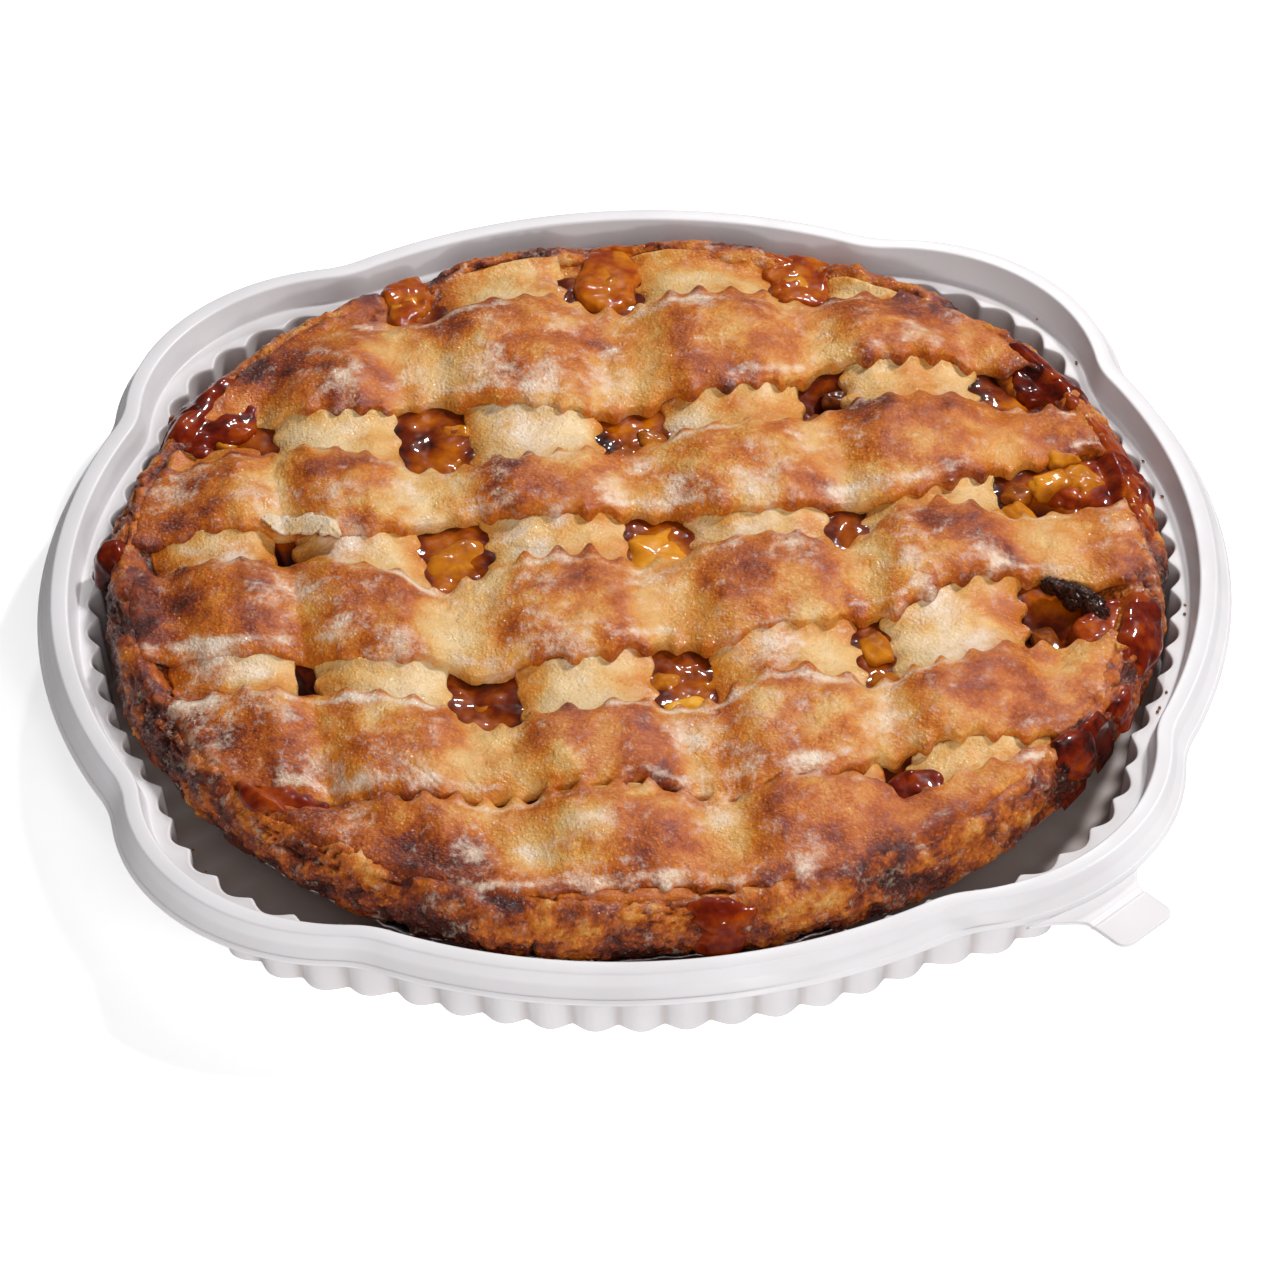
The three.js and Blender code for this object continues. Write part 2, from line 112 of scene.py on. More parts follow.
# %% Cells and cracks
def cells(x, y, cell, seed):
    """For jittered lattice points: distances to the nearest two, in cells, and the nearest's number."""
    column, row = np.floor(x / cell), np.floor(y / cell)
    nearest, second = np.full(x.shape, 9.0), np.full(x.shape, 9.0)
    number = np.zeros(x.shape)
    for i, j in np.ndindex(3, 3):
        at_x, at_y = column + i - 1, row + j - 1
        away_x = at_x + scatter(at_x, at_y, seed) - x / cell
        away_y = at_y + scatter(at_x, at_y, seed + 1) - y / cell
        away = np.hypot(away_x, away_y)
        closer = away < nearest
        second = np.where(closer, nearest, np.minimum(second, away))
        number = np.where(closer, scatter(at_x, at_y, seed + 2), number)
        nearest = np.minimum(nearest, away)
    return nearest, second, number


def grains(x, y, cell, seed, low, high):
    """Round grains, one to a cell: each one's number, and 1 on it, falling to 0 from low to high."""
    nearest, _, number = cells(x, y, cell, seed)
    return number, 1 - smooth(low, high, nearest)


def cracks(x, y, cell, width, seed):
    """1 in the middle of the borders between cells, falling to 0 at width millimetres from them."""
    nearest, second, _ = cells(x, y, cell, seed)
    return 1 - smooth(0, 2 * width / cell, second - nearest)


sample = np.meshgrid(np.linspace(0, 90, 200), np.linspace(0, 90, 200))
print("lumps average", round(float(lumps(*sample, 5, 1).mean()), 3))

# %% [markdown]
# ## From a grid to a mesh
# A surface here is an array of points with rows and columns. foreach_set hands the whole array
# to Blender at once, which is far quicker than adding points one by one. A closed surface is
# kept as parts: its points, its quads and its triangles. The volume inside is summed over the
# triangles: if it is negative the faces point inwards, and all are turned round.

# %% Faces of a grid
def grid_faces(rows, columns, ring=False):
    """The quads between neighbouring rows and columns. A ring also joins the last column to the first."""
    i, j = np.meshgrid(np.arange(rows - 1), np.arange(columns if ring else columns - 1), indexing="ij")
    here, below, k = i * columns, (i + 1) * columns, (j + 1) % columns
    return np.stack([here + j, here + k, below + k, below + j], -1).reshape(-1, 4)


def cap_faces(loop, hub):
    """Triangles from each edge of a loop of points to a hub, which close an end."""
    return np.stack([loop, np.roll(loop, -1), np.full(len(loop), hub)], -1)


# %% Closed parts
def enclosed(points, quads, triangles):
    """The volume inside, as the sum over triangles of a . (b x c) / 6."""
    thirds = np.concatenate([quads[:, [0, 1, 2]], quads[:, [0, 2, 3]], triangles])
    a, b, c = points[thirds[:, 0]], points[thirds[:, 1]], points[thirds[:, 2]]
    return float(np.einsum("ij,ij->i", a, np.cross(b, c)).sum() / 6)


def faced_out(points, quads, triangles):
    """The same parts, with every face turned round if the volume inside is negative."""
    if enclosed(points, quads, triangles) < 0:
        return points, quads[:, ::-1], triangles[:, ::-1]
    return points, quads, triangles


def joined(pieces):
    """Several sets of parts as one: each set's indices are moved past the points before it."""
    start, moved = 0, []
    for points, quads, triangles in pieces:
        moved.append((points, quads + start, triangles + start))
        start += len(points)
    return [np.concatenate(group) for group in zip(*moved)]


# %% Tubes and slabs
def tube_parts(grid):
    """A closed tube from a grid whose columns run round it. Both end rows are closed to their middle."""
    rows, columns = grid.shape[:2]
    first, last = np.arange(columns), (rows - 1) * columns + np.arange(columns)
    points = np.concatenate([grid.reshape(-1, 3), grid[0].mean(0)[None], grid[-1].mean(0)[None]])
    triangles = [cap_faces(first[::-1], rows * columns), cap_faces(last, rows * columns + 1)]
    return faced_out(points, grid_faces(rows, columns, True), np.concatenate(triangles))


def tube_field(values):
    """A number for each of a tube's points: one for each grid point and the mean of each end row."""
    return np.append(values.ravel(), [values[0].mean(), values[-1].mean()])


def slab_parts(top, bottom):
    """A closed slab between two grids of the same size."""
    rows, columns = top.shape[:2]
    above = grid_faces(rows, columns)
    index = np.arange(rows * columns).reshape(rows, columns)
    border = np.concatenate([index[0, :-1], index[:-1, -1], index[-1, :0:-1], index[:0:-1, 0]])
    after = np.roll(border, -1)
    under = rows * columns
    wall = np.stack([border, border + under, after + under, after], -1)
    points = np.concatenate([top.reshape(-1, 3), bottom.reshape(-1, 3)])
    return faced_out(points, np.concatenate([above, above[:, ::-1] + under, wall]), np.zeros((0, 3), int))


# %% From parts to an object
def make_piece(name, parts, material, slot, replaced=(), **fields):
    """A smooth object from parts in millimetres, riding on the frame. fields are numbers for each point."""
    points, quads, triangles = parts
    mesh = bpy.data.meshes.new(name)
    mesh.vertices.add(len(points))
    mesh.vertices.foreach_set("co", (points * MM).astype(np.float32).ravel())
    corners = np.concatenate([quads.ravel(), triangles.ravel()])
    mesh.loops.add(len(corners))
    mesh.loops.foreach_set("vertex_index", corners.astype(np.int32))
    starts = np.append(np.arange(len(quads)) * 4, 4 * len(quads) + np.arange(len(triangles)) * 3)
    mesh.polygons.add(len(starts))
    mesh.polygons.foreach_set("loop_start", starts.astype(np.int32))
    mesh.polygons.foreach_set("use_smooth", np.ones(len(starts), bool))
    for field, values in fields.items():
        kept = mesh.attributes.new(field, "FLOAT", "POINT")
        kept.data.foreach_set("value", np.asarray(values, np.float32).ravel())
    mesh.update(calc_edges=True)
    mesh.validate()
    mesh.materials.append(material)
    piece = bpy.data.objects.new(name, mesh)
    scene.collection.objects.link(piece)
    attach(piece, "root")
    if replaced:
        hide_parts(*replaced)
    count = 2 * len(quads) + len(triangles)
    print(f"{name}: {count} triangles, {enclosed(*parts) / 1000:.1f} ml")
    return piece


def make_tube(name, grid, material, slot, replaced, **fields):
    """A piece that is one closed tube. fields are grids of numbers, like the grid of points."""
    fields = {field: tube_field(values) for field, values in fields.items()}
    return make_piece(name, tube_parts(grid), material, slot, replaced, **fields)


# %% [markdown]
# ## Turning and placing
# Much of a pie is round, so many pieces are turned as on a potter's wheel: a profile is carried
# round the upright axis. The rest is shaped flat, and then turned and set down in its place.

# %% Turning and placing
def at_angle(radius, angle, height):
    """Points from their radius, angle and height: x = r cos a, y = r sin a."""
    return np.stack([radius * np.cos(angle), radius * np.sin(angle), height + 0 * angle], -1)


def turned(profile, angle):
    """A grid with a row for each (radius, height) of the profile. Either may be one value for each angle."""
    return np.array([at_angle(radius, angle, height) for radius, height in profile])


def set_down(x, y, place, degrees):
    """x and y turned by degrees and moved to place."""
    c, s = np.cos(np.radians(degrees)), np.sin(np.radians(degrees))
    return place[0] + c * x - s * y, place[1] + s * x + c * y


def normals(grid):
    """Unit normals of a grid: the cross product of its differences along rows and along columns."""
    normal = np.cross(np.gradient(grid, axis=0), np.gradient(grid, axis=1))
    return normal / np.maximum(np.linalg.norm(normal, axis=-1, keepdims=True), 1e-9)


# %% [markdown]
# ## Materials from nodes
# A finish is a small network: patterns feed a colour ramp and a bump, and those feed the
# Principled shader. It could be clicked together in the editor. In a script a few helpers are
# enough, for a node, a sum, a pattern, a ramp and a bump.

# %% Nodes and sums
def node(tree, kind, inputs=None, **settings):
    """Adds a node. An input given as a socket is linked, and one given as a value is set on the node."""
    made = tree.nodes.new("ShaderNode" + kind)
    for key, value in settings.items():
        setattr(made, key, value)
    for key, value in (inputs or {}).items():
        if isinstance(value, bpy.types.NodeSocket):
            tree.links.new(value, made.inputs[key])
        else:
            made.inputs[key].default_value = value
    return made


def maths(tree, operation, *values):
    """One sum on numbers or sockets, such as ADD or SUBTRACT."""
    return node(tree, "Math", dict(enumerate(values)), operation=operation).outputs[0]


def scaled(tree, value, factor, plus):
    """value * factor + plus."""
    return maths(tree, "MULTIPLY_ADD", value, factor, plus)


def painted(tree, name):
    """The numbers that a piece keeps for its points under that name."""
    return node(tree, "Attribute", attribute_name=name).outputs["Fac"]


def stretched(tree, value, low, high, top=1.0):
    """0 where value is low and top where it is high, in proportion between and no further."""
    inputs = {"Value": value, "From Min": low, "From Max": high, "To Max": top}
    return node(tree, "MapRange", inputs).outputs[0]


# %% Patterns and colours
def speckle(tree, where, size, detail=2.0, roughness=0.5):
    """Noise from 0 to 1 whose spots are about size millimetres across."""
    inputs = {"Vector": where, "Scale": 1 / (size * MM), "Detail": detail, "Roughness": roughness}
    return node(tree, "TexNoise", inputs).outputs["Fac"]


def ramp(tree, value, stops):
    """A colour for each value, in proportion between stops of (place, red, green, blue)."""
    made = node(tree, "ValToRGB", {"Fac": value})
    band = made.color_ramp.elements
    while len(band) < len(stops):
        band.new(0.5)
    for step, (place, *colour) in zip(band, stops):
        step.position = place
        step.color = (*colour, 1)
    return made.outputs["Color"]


def blended(tree, share, first, second):
    """A pattern's colour, first, where share is 0, and the plain colour second where it is 1."""
    made = node(tree, "Mix", {"Factor": share, 6: first, 7: (*second, 1)}, data_type="RGBA")
    return made.outputs[2]


# %% A finish
def new_finish(name, **values):
    """A material's node tree, its shader and Object coordinates, with constants set on the shader."""
    material = bpy.data.materials.new(name)
    material.use_nodes = True
    tree = material.node_tree
    shader = tree.nodes["Principled BSDF"]
    for socket, value in values.items():
        shader.inputs[socket.replace("_", " ")].default_value = value
    return material, tree, shader, node(tree, "TexCoord").outputs["Object"]


def feed(tree, shader, **patterns):
    """Links each pattern to the shader's socket of that name."""
    for socket, pattern in patterns.items():
        tree.links.new(pattern, shader.inputs[socket.replace("_", " ")])


def bump(tree, height, depth, before=None):
    """A normal from a height pattern that is depth millimetres deep, on top of the normal before it."""
    inputs = {"Height": height, "Distance": depth * MM, "Strength": 1.0}
    if before is not None:
        inputs["Normal"] = before
    return node(tree, "Bump", inputs).outputs["Normal"]


# %% [markdown]
# ## The tray
# The tray is thin white plastic, pressed over a mould. Four long sides and four corner lobes make
# its outline, so the radius is known for every direction. Below the rim the wall is fluted to
# make it stiff. One profile, carried round the outline, gives the whole tray: it runs from the
# middle of the floor up the wall, over the bead, down the skirt to the edge and back beneath.

# %% Outline of the tray
SIDE, LOBE, LOBE_AT, HOLLOW = 127.0, 50.0, 86.3, 24.0  # radii, and how far out a lobe's centre is


def tray_edge(angle):
    """The outer edge as a radius: an arc about the middle, a hollow arc, then the lobe's own arc."""
    off = np.abs(np.mod(angle, TAU / 4) - TAU / 8)
    far = SIDE + HOLLOW
    turn = np.arccos((far**2 + LOBE_AT**2 - (LOBE + HOLLOW) ** 2) / (2 * far * LOBE_AT))
    share = HOLLOW / (LOBE + HOLLOW)
    touch = np.arctan2(mix(far * np.sin(turn), 0, share), mix(far * np.cos(turn), LOBE_AT, share))
    hollow = far * np.cos(turn - off) - np.sqrt(np.maximum(HOLLOW**2 - (far * np.sin(turn - off)) ** 2, 0))
    lobe = LOBE_AT * np.cos(off) + np.sqrt(LOBE**2 - (LOBE_AT * np.sin(off)) ** 2)
    return np.where(off >= turn, SIDE, np.where(off >= touch, hollow, lobe))


print("tray edge at a side and at a lobe:", tray_edge(np.array([0, TAU / 8])).round(1))

# %% Profile of the tray
SHEET, LEDGE, BEAD = 0.8, 19.0, 25.0  # thickness, and heights of the ledge and of the bead
WELL, WELL_AT_LOBE, DRAFT = 12.1, 14.0, 1.6  # from the edge in to the flutes, and the wall's lean
FLUTES, FLUTE_DEPTH, FLUTE_COLUMNS = 76, 1.25, 14  # how many, how deep, and the grid's columns in each
FLOOR_ENDS, FLOOR_ROWS = 8.0, (0.15, 0.6, 0.9)  # in from the flutes to the flat floor, and its rows' shares


def rounded(profile, cut, steps=4):
    """A profile whose inner corners become quadratic curves that start and end cut before and after them."""
    profile = np.array(profile, float)
    made = [profile[0]]
    for before, corner, after in zip(profile, profile[1:], profile[2:]):
        back, ahead = before - corner, after - corner
        start = corner + back * min(0.45, cut / np.linalg.norm(back))
        end = corner + ahead * min(0.45, cut / np.linalg.norm(ahead))
        t = np.linspace(0, 1, steps + 1)[:, None]
        made.extend((1 - t) ** 2 * start + 2 * t * (1 - t) * corner + t**2 * end)
    made.append(profile[-1])
    return np.array(made)


# Rim points are [in from the edge, height], and wall points [out from the flutes' middle line, height].
RIM_TOP = rounded(
    [[9.6, LEDGE], [8.6, LEDGE], [6.9, BEAD], [3.2, BEAD], [2.3, 22.2], [0.75, 20.1], [0.6, 20.2],
     [0.1, 19.5], [0, 19.2]], 0.5
)
RIM_UNDER = rounded([[0.3, 18.8], [2.9, 22], [3.9, 24.2], [6.2, 24.2], [7.9, 18.2], [9.4, 18.2]], 0.4)
WALL_IN = rounded([[-5.5, SHEET], [-DRAFT - 0.2, SHEET], [0, LEDGE], [0.9, LEDGE]], 1.1)
WALL_OUT = rounded([[SHEET + 0.7, LEDGE - SHEET], [SHEET, LEDGE - SHEET], [SHEET - DRAFT, 0], [-4, 0]], 0.7)

# %% The tray as one closed surface
def tray_profile(angle):
    """Rows of (radius, height) up, over and back down: wall rows follow the flutes and rim rows the edge."""
    edge = tray_edge(angle)
    lobe_share = (edge - SIDE) / (LOBE_AT + LOBE - SIDE)
    middle = edge - mix(WELL, WELL_AT_LOBE, lobe_share)
    flute = 2 * np.sqrt(np.sin(FLUTES * angle / 2) ** 2 + 0.015) - 1.02
    floor = [(share * (middle - FLOOR_ENDS), SHEET) for share in FLOOR_ROWS]
    wall = [(middle + out + FLUTE_DEPTH * flute * smooth(-5.5, -1.8, out), height) for out, height in WALL_IN]
    rim = [(edge - inset, height) for inset, height in (*RIM_TOP, *RIM_UNDER)]
    skirt = [(middle + out + FLUTE_DEPTH * flute * smooth(-4, -0.8, out), height) for out, height in WALL_OUT]
    below = [(share * (middle - FLOOR_ENDS), 0) for share in (0.9, 0.5, 0.15)]
    return floor + wall + rim + skirt + below


around = np.arange(FLUTES * FLUTE_COLUMNS) / (FLUTES * FLUTE_COLUMNS) * TAU
tray_grid = turned(tray_profile(around), around)
print("tray grid", tray_grid.shape)

# %% The tab
TAB_AT, TAB_WIDTH, TAB_REACH, TAB_ROOT, TAB_CORNER = -49.0, 15.0, 14.0, 27.0, 2.5  # TAB_AT in degrees
TAB_HEIGHT, TAB_THICK, TAB_FOLD = 19.2, 0.6, 5.0  # TAB_FOLD is how far out its crease is


def tab_grids():
    """The tab's top and underside. Its half width narrows as a parabola, and its tip is round."""
    reach, across = np.meshgrid(np.linspace(-1.2, TAB_REACH, 60), np.linspace(-1, 1, 33), indexing="ij")
    waist = (TAB_ROOT - TAB_WIDTH) / 2 * np.clip(1 - reach / (TAB_REACH / 3), 0, 1.4) ** 2
    left = np.clip(reach - (TAB_REACH - TAB_CORNER), 0, TAB_CORNER)
    half = TAB_WIDTH / 2 - TAB_CORNER + np.sqrt(TAB_CORNER**2 - left**2 + 1e-4) + waist
    side = across * half
    curve = LOBE - np.sqrt(LOBE**2 - np.minimum(side, 20) ** 2)
    out = tray_edge(np.radians(TAB_AT)) + reach - curve * (1 - smooth(0, 4, reach))
    fold = -0.35 * np.exp(-(((reach - TAB_FOLD) / 0.5) ** 2)) - 0.04 * np.maximum(reach - TAB_FOLD, 0)
    top = np.stack([*set_down(out, side, (0, 0), TAB_AT), TAB_HEIGHT + fold], -1)
    return top, top - np.array([0, 0, TAB_THICK])


# %% [markdown]
# The plastic is satin, and light goes a short way into it. A plain shader looks like paint, so the
# roughness wanders and a faint bump copies the mould's wear. Shade is painted into the colour
# where shadow falls: inside, below the ledge, and in the grooves outside. Each point keeps a
# number for that painted shade.

# %% Finish of the tray
# The plastic's own colours, before any painted shade.
UNSHADED_COLOURS = [(0.3, 0.69, 0.669, 0.685), (0.7, 0.75, 0.728, 0.745)]
# The dark brown of painted shade, where shadow falls in the tray.
PAINTED_SHADE_COLOUR = (0.22, 0.135, 0.08)


def tray_finish():
    """Satin off-white plastic with a slow change of gloss, the mould's faint unevenness and painted shade."""
    material, tree, shader, where = new_finish(
        "tray_plastic", Roughness=0.36, IOR=1.49, Subsurface_Weight=0.04, Subsurface_Scale=0.003
    )
    unshaded = ramp(tree, speckle(tree, where, 22, 2), UNSHADED_COLOURS)
    # painted shade: the colour is drawn towards the dark brown as far as each point asks
    colour = blended(tree, painted(tree, "dull"), unshaded, PAINTED_SHADE_COLOUR)
    gloss = scaled(tree, speckle(tree, where, 9, 3), 0.16, 0.28)
    worn = bump(tree, speckle(tree, where, 3.0, 3), 0.02)
    feed(tree, shader, Base_Color=colour, Roughness=gloss, Normal=worn)
    return material


tray_plastic = tray_finish()

# %% Where shade is painted on the tray
# How much painted shade lies on the tray's floor.
FLOOR_PAINTED_SHADE = 0.62


def tray_dullness(angle):
    """Painted shade from 0 to 1 for each row and angle: most on the floor, less up the wall, and in the
    grooves outside.
    """
    hollow = np.abs(np.sin(FLUTES * angle / 2))
    clear = 0 * angle
    floor = [clear + FLOOR_PAINTED_SHADE for _ in FLOOR_ROWS]
    rises = smooth(0.75 * LEDGE, LEDGE, WALL_IN[:, 1])
    wall = [(0.68 - 0.5 * risen) * (0.7 + 0.3 * hollow) for risen in rises]
    rim = [clear for _ in (*RIM_TOP, *RIM_UNDER)]
    outside = [0.06 + 0.3 * (1 - smooth(0, 0.55, hollow)) for _ in WALL_OUT]
    return np.array(floor + wall + rim + outside + [clear for _ in FLOOR_ROWS])


# %% Make the tray
def make_tray():
    """The moulded shell and the tab, joined in one piece."""
    tab = slab_parts(*tab_grids())
    # painted shade for each point of the shell, and none on the tab
    dull = np.append(tube_field(tray_dullness(around)), np.zeros(len(tab[0])))
    parts = joined([tube_parts(tray_grid), tab])
    return make_piece("tray_moulding", parts, tray_plastic, "tray_plastic", ["tray"], dull=dull)


make_tray()

# %% [markdown]
# ## Heights on the pie
# Everything on the pie lies on the dome of the filling. The lower strips follow it. The upper
# strips lie on the lower ones, and sag into the gaps between them while the dough is soft, which
# is what makes the pillows of a lattice. At the rim both are pressed thin and sealed.

# %% Sizes of the pie
GAP = 0.3
DOME_TOP, DOME_FALL, DOME_RADIUS = 28.0, 3.8, 105.0
UNDER_THICK, OVER_THICK, LAYER_GAP, PRESSED, SAG = 3.4, 3.6, 0.6, 0.62, 3.3
PINKING = 7.0  # one tooth of the pastry wheel
RIM_RADIUS, RIM_TOP_HEIGHT = 112.5, 29.2

# A lower strip's middle line is x = offset + lean * y. The first one stops short of the far rim.
UNDER = [  # offset, lean, width, and the y where it stops
    (-88.0, -0.1, 26.0, 42.0), (-57.5, -0.1, 26.0, np.inf), (-15.5, -0.092, 29.0, np.inf),
    (27.5, -0.073, 30.0, np.inf), (65.0, -0.04, 29.0, np.inf),
]
# The y of an upper strip's far edge, and then of its near edge, at these places in x.
PLACES = [-100, -86, -72, -60, -50, -42, -34, -22, -10, -2, 6, 16, 28, 38, 45, 54, 66, 80, 98]
OVER = [
    ([88, 87, 86, 85, 84, 83, 84, 85.5, 85, 82, 82, 83.5, 83, 83, 82, 83, 83, 83, 83],
     [53, 52, 51, 49.5, 50, 52, 50, 47, 44, 44.5, 47, 49, 50, 52, 58, 57, 58, 56, 53]),
    ([35, 38, 38.5, 35.5, 30.5, 28, 28.5, 28.5, 29, 30, 33, 35.5, 36.5, 36.5, 41.5, 42.5, 42.5, 43, 40],
     [12, 13, 11, 6, 8, 11.5, 12, 9.5, 9.5, 11.5, 11, 8, 7.5, 9.5, 11, 10, 13, 20, 27]),
    ([2, 2, 1, -2.5, -6.5, -11.5, -7, -4.5, -4, -7, -5.5, -3.5, -2, -3, -4, 3, 6.5, 4, 8],
     [-25, -28, -28.5, -33, -34.5, -34, -38.5, -36.5, -37, -33.5, -31, -33.5, -29.5, -29, -26, -26, -19,
      -15, -16]),
    ([-38, -39, -40.5, -43, -46, -48.5, -53.5, -52.5, -52.5, -50.5, -51, -50, -44.5, -46, -48, -45.5,
      -42.5, -37, -34],
     [-63, -65, -69, -72.5, -74, -74.5, -75.5, -75, -76, -75.5, -77, -79, -76, -75, -70.5, -67.5, -65,
      -63, -60]),
    ([-70, -71, -72, -74, -75.5, -75.8, -75.9, -76.1, -75.8, -75.5, -77, -79, -76, -75.5, -76, -79,
      -73.5, -68, -63],
     [-95, -96, -98, -100, -101, -102, -103, -103, -103, -103, -103, -103, -102.5, -101, -99.5, -97,
      -94, -90, -86]),
]


def through(values, x):
    """A smooth curve through values at PLACES: a cubic on each stretch, with the mean slope at each place."""
    places, values = np.array(PLACES, float), np.array(values, float)
    slopes = np.gradient(values, places)
    x = np.clip(x, places[0], places[-1])
    k = np.clip(np.searchsorted(places, x) - 1, 0, len(places) - 2)
    step = places[k + 1] - places[k]
    t = (x - places[k]) / step
    value = (1 + 2 * t) * (1 - t) ** 2 * values[k] + t**2 * (3 - 2 * t) * values[k + 1]
    return value + step * t * (1 - t) * ((1 - t) * slopes[k] - t * slopes[k + 1])


# %% Where the strips lie
def dome(r):
    """The surface under the lattice: it falls from the middle with the fourth power of the radius."""
    return DOME_TOP - DOME_FALL * (r / DOME_RADIUS) ** 4


def dome_at(x, y):
    """The dome's height at a point in plan."""
    return dome(np.hypot(x, y))


def under_away(x, y):
    """How far a point lies outside the nearest lower strip, and below 0 inside one."""
    away = [
        np.abs(x - offset - lean * y) - width / 2 + 9 * smooth(0, 6, y - stop)
        for offset, lean, width, stop in UNDER
    ]
    return np.min(away, axis=0)


def over_away(x, y):
    """How far a point lies outside the nearest upper strip, and below 0 inside one."""
    away = [np.maximum(y - through(far, x), through(near, x) - y) for far, near in OVER]
    return np.min(away, axis=0)


def carried(x, y):
    """1 in the middle of a lower strip, falling to 0 in the gap between two: the shape of a pillow."""
    return 1 - smooth(-8, 4.5, under_away(x, y))


def pressed(r):
    """The share of its thickness that a strip keeps: all of it, falling to PRESSED at the rim."""
    return mix(1, PRESSED, smooth(88, 102, r))


# %% The heights of the layers
def under_bottom(x, y):
    """The lower strips lie on the dome."""
    return dome_at(x, y) + GAP


def under_top(x, y):
    """Their thickness above that, pressed at the rim."""
    return under_bottom(x, y) + UNDER_THICK * pressed(np.hypot(x, y))


def over_bottom(x, y):
    """The upper strips lie on the lower ones, and sag between them but not at the rim."""
    sag = SAG * (1 - smooth(94, 103, np.hypot(x, y))) * (1 - carried(x, y))
    return under_top(x, y) + LAYER_GAP - sag


def over_top(x, y):
    """Their thickness above that, pressed at the rim."""
    return over_bottom(x, y) + OVER_THICK * pressed(np.hypot(x, y))


print("strips at the middle:", over_top(np.zeros(1), np.zeros(1)).round(2), "mm above the table")

# %% [markdown]
# ## The crust rim
# The rim is the edge of the bottom crust, folded up, pressed down by hand and baked darkest. It
# is turned from one profile like a pot, then pushed about: slow wander, lumps, cracks and crumbs.

# %% Rim wander and profile
DIP_AT, DIP_HALF, DIP_DEPTH = (66, 90, 114), 7.0, 3.2  # degrees, where the rim dips between strip ends
RIM_CURVE = rounded(
    [[99.4, 24.2], [103.2, 25.6], [105.6, 28.2], [107.4, 29.2], [109.6, 28.2], [111.7, 25.2], [112.5, 20.5],
     [111.7, 17.4], [110.2, 16.9], [107.2, 16.4]], 1.6, 5
)


def wander(angle, phase):
    """A slow uneven line round the pie, from -1 to 1: three sines."""
    slow, quick = np.sin(3 * angle + phase), np.sin(7 * angle + 2.3 * phase)
    return 0.5 * slow + 0.3 * quick + 0.2 * np.sin(16 * angle + 4.1 * phase)


def rim_sinks(angle):
    """How far the rim's top lies under RIM_TOP_HEIGHT: a slow wander, and the dips between strip ends."""
    degrees = np.degrees(np.arctan2(np.sin(angle), np.cos(angle)))
    dips = sum(1 - smooth(0, DIP_HALF, np.abs(degrees - at)) for at in DIP_AT)
    return 0.4 * (1 + wander(angle, 2)) + DIP_DEPTH * dips


def rim_surface(angle, along):
    """The rim without its crumb: along runs from 0 at the seat over the top to 1 under the outer edge."""
    steps = np.append(0, np.cumsum(np.linalg.norm(np.diff(RIM_CURVE, axis=0), axis=1)))
    radius, height = [np.interp(along, steps / steps[-1], column) for column in RIM_CURVE.T]
    out = smooth(109, RIM_RADIUS, radius) * smooth(17, 20, height) * 0.8 * wander(angle, 1)
    sunk = smooth(102, 107, radius) * smooth(22, 28, height) * rim_sinks(angle)
    return at_angle(radius + out, angle, height - sunk)


# %% Relief of the rim
RIM_LENGTH = 34.0  # of the profile, for the relief


def rim_relief(angle, along):
    """How far the rim stands out: folds along it, crags, crumbs, less its cracks. Millimetres."""
    x, y = angle * RIM_RADIUS, along * RIM_LENGTH
    x = x + 1.5 * lumps(x, y, 9, 71)
    relief = 0.75 * rough(x, y * 1.5, 11, 2, 11) + 0.5 * rough(x, y, 4.2, 3, 13)
    size, crumb = grains(x + 0.5 * lumps(x, y, 2, 17), y, 2.1, 19, 0.15, 0.62)
    relief += (0.55 * size - 0.1) * crumb
    torn = smooth(-0.15, 0.5, lumps(x, y, 13, 23))
    relief -= torn * 1.5 * cracks(0.5 * x + 0.8 * lumps(x, y, 2.5, 31), y * 2.2, 7.0, 0.4, 29)
    relief -= 0.7 * cracks(x + 0.6 * lumps(x, y, 2, 37), y * 2.2, 4.4, 0.25, 41) * smooth(0.35, 0.6, along)
    return relief * smooth(0, 0.12, along) * (1 - 0.6 * smooth(0.86, 1, along))


# %% Rim points with all their relief
RIM_CORE = (105.0, 20.0)  # radius and height inside the rim's dough


def rim_normals(base):
    """The normals of a grid on the rim, turned to point away from the rim's core."""
    normal = normals(base)
    core = RIM_CORE[0] / np.linalg.norm(base[..., :2], axis=-1, keepdims=True)
    from_core = np.concatenate([base[..., :2] * (1 - core), base[..., 2:] - RIM_CORE[1]], -1)
    return normal * np.where((normal * from_core).sum(-1) < 0, -1, 1)[..., None]


# %% [markdown]
# The rim's colour runs from deep golden brown on top to nearly black where it is thinnest, with
# purple-brown burnt sugar in places. Each point keeps a number for its browning, which a ramp
# turns into colour. That number also holds painted shade and light: darker in the rim's cracks and
# hollows, lighter on its raised crags, and darker on the side of the pie away from the key light. A
# second number, frost, is for the dried glaze that lies on it in pinkish white patches. A third,
# wet, says where jelly has soaked the dough, which makes it smooth and glossy.

# %% Colour of the pastry
CRUST_COLOURS = [
    (0.00, 0.78, 0.56, 0.30),
    (0.16, 0.73, 0.43, 0.150),
    (0.32, 0.66, 0.270, 0.045),
    (0.47, 0.56, 0.152, 0.012),
    (0.62, 0.42, 0.088, 0.006),
    (0.78, 0.22, 0.036, 0.009),
    (1.00, 0.055, 0.010, 0.005),
]
FROST_COLOUR = (0.81, 0.63, 0.47)
# The near white of the thickest glaze: sugar crystals, and painted highlight.
SUGAR_AND_HIGHLIGHT_COLOUR = (0.93, 0.84, 0.73)


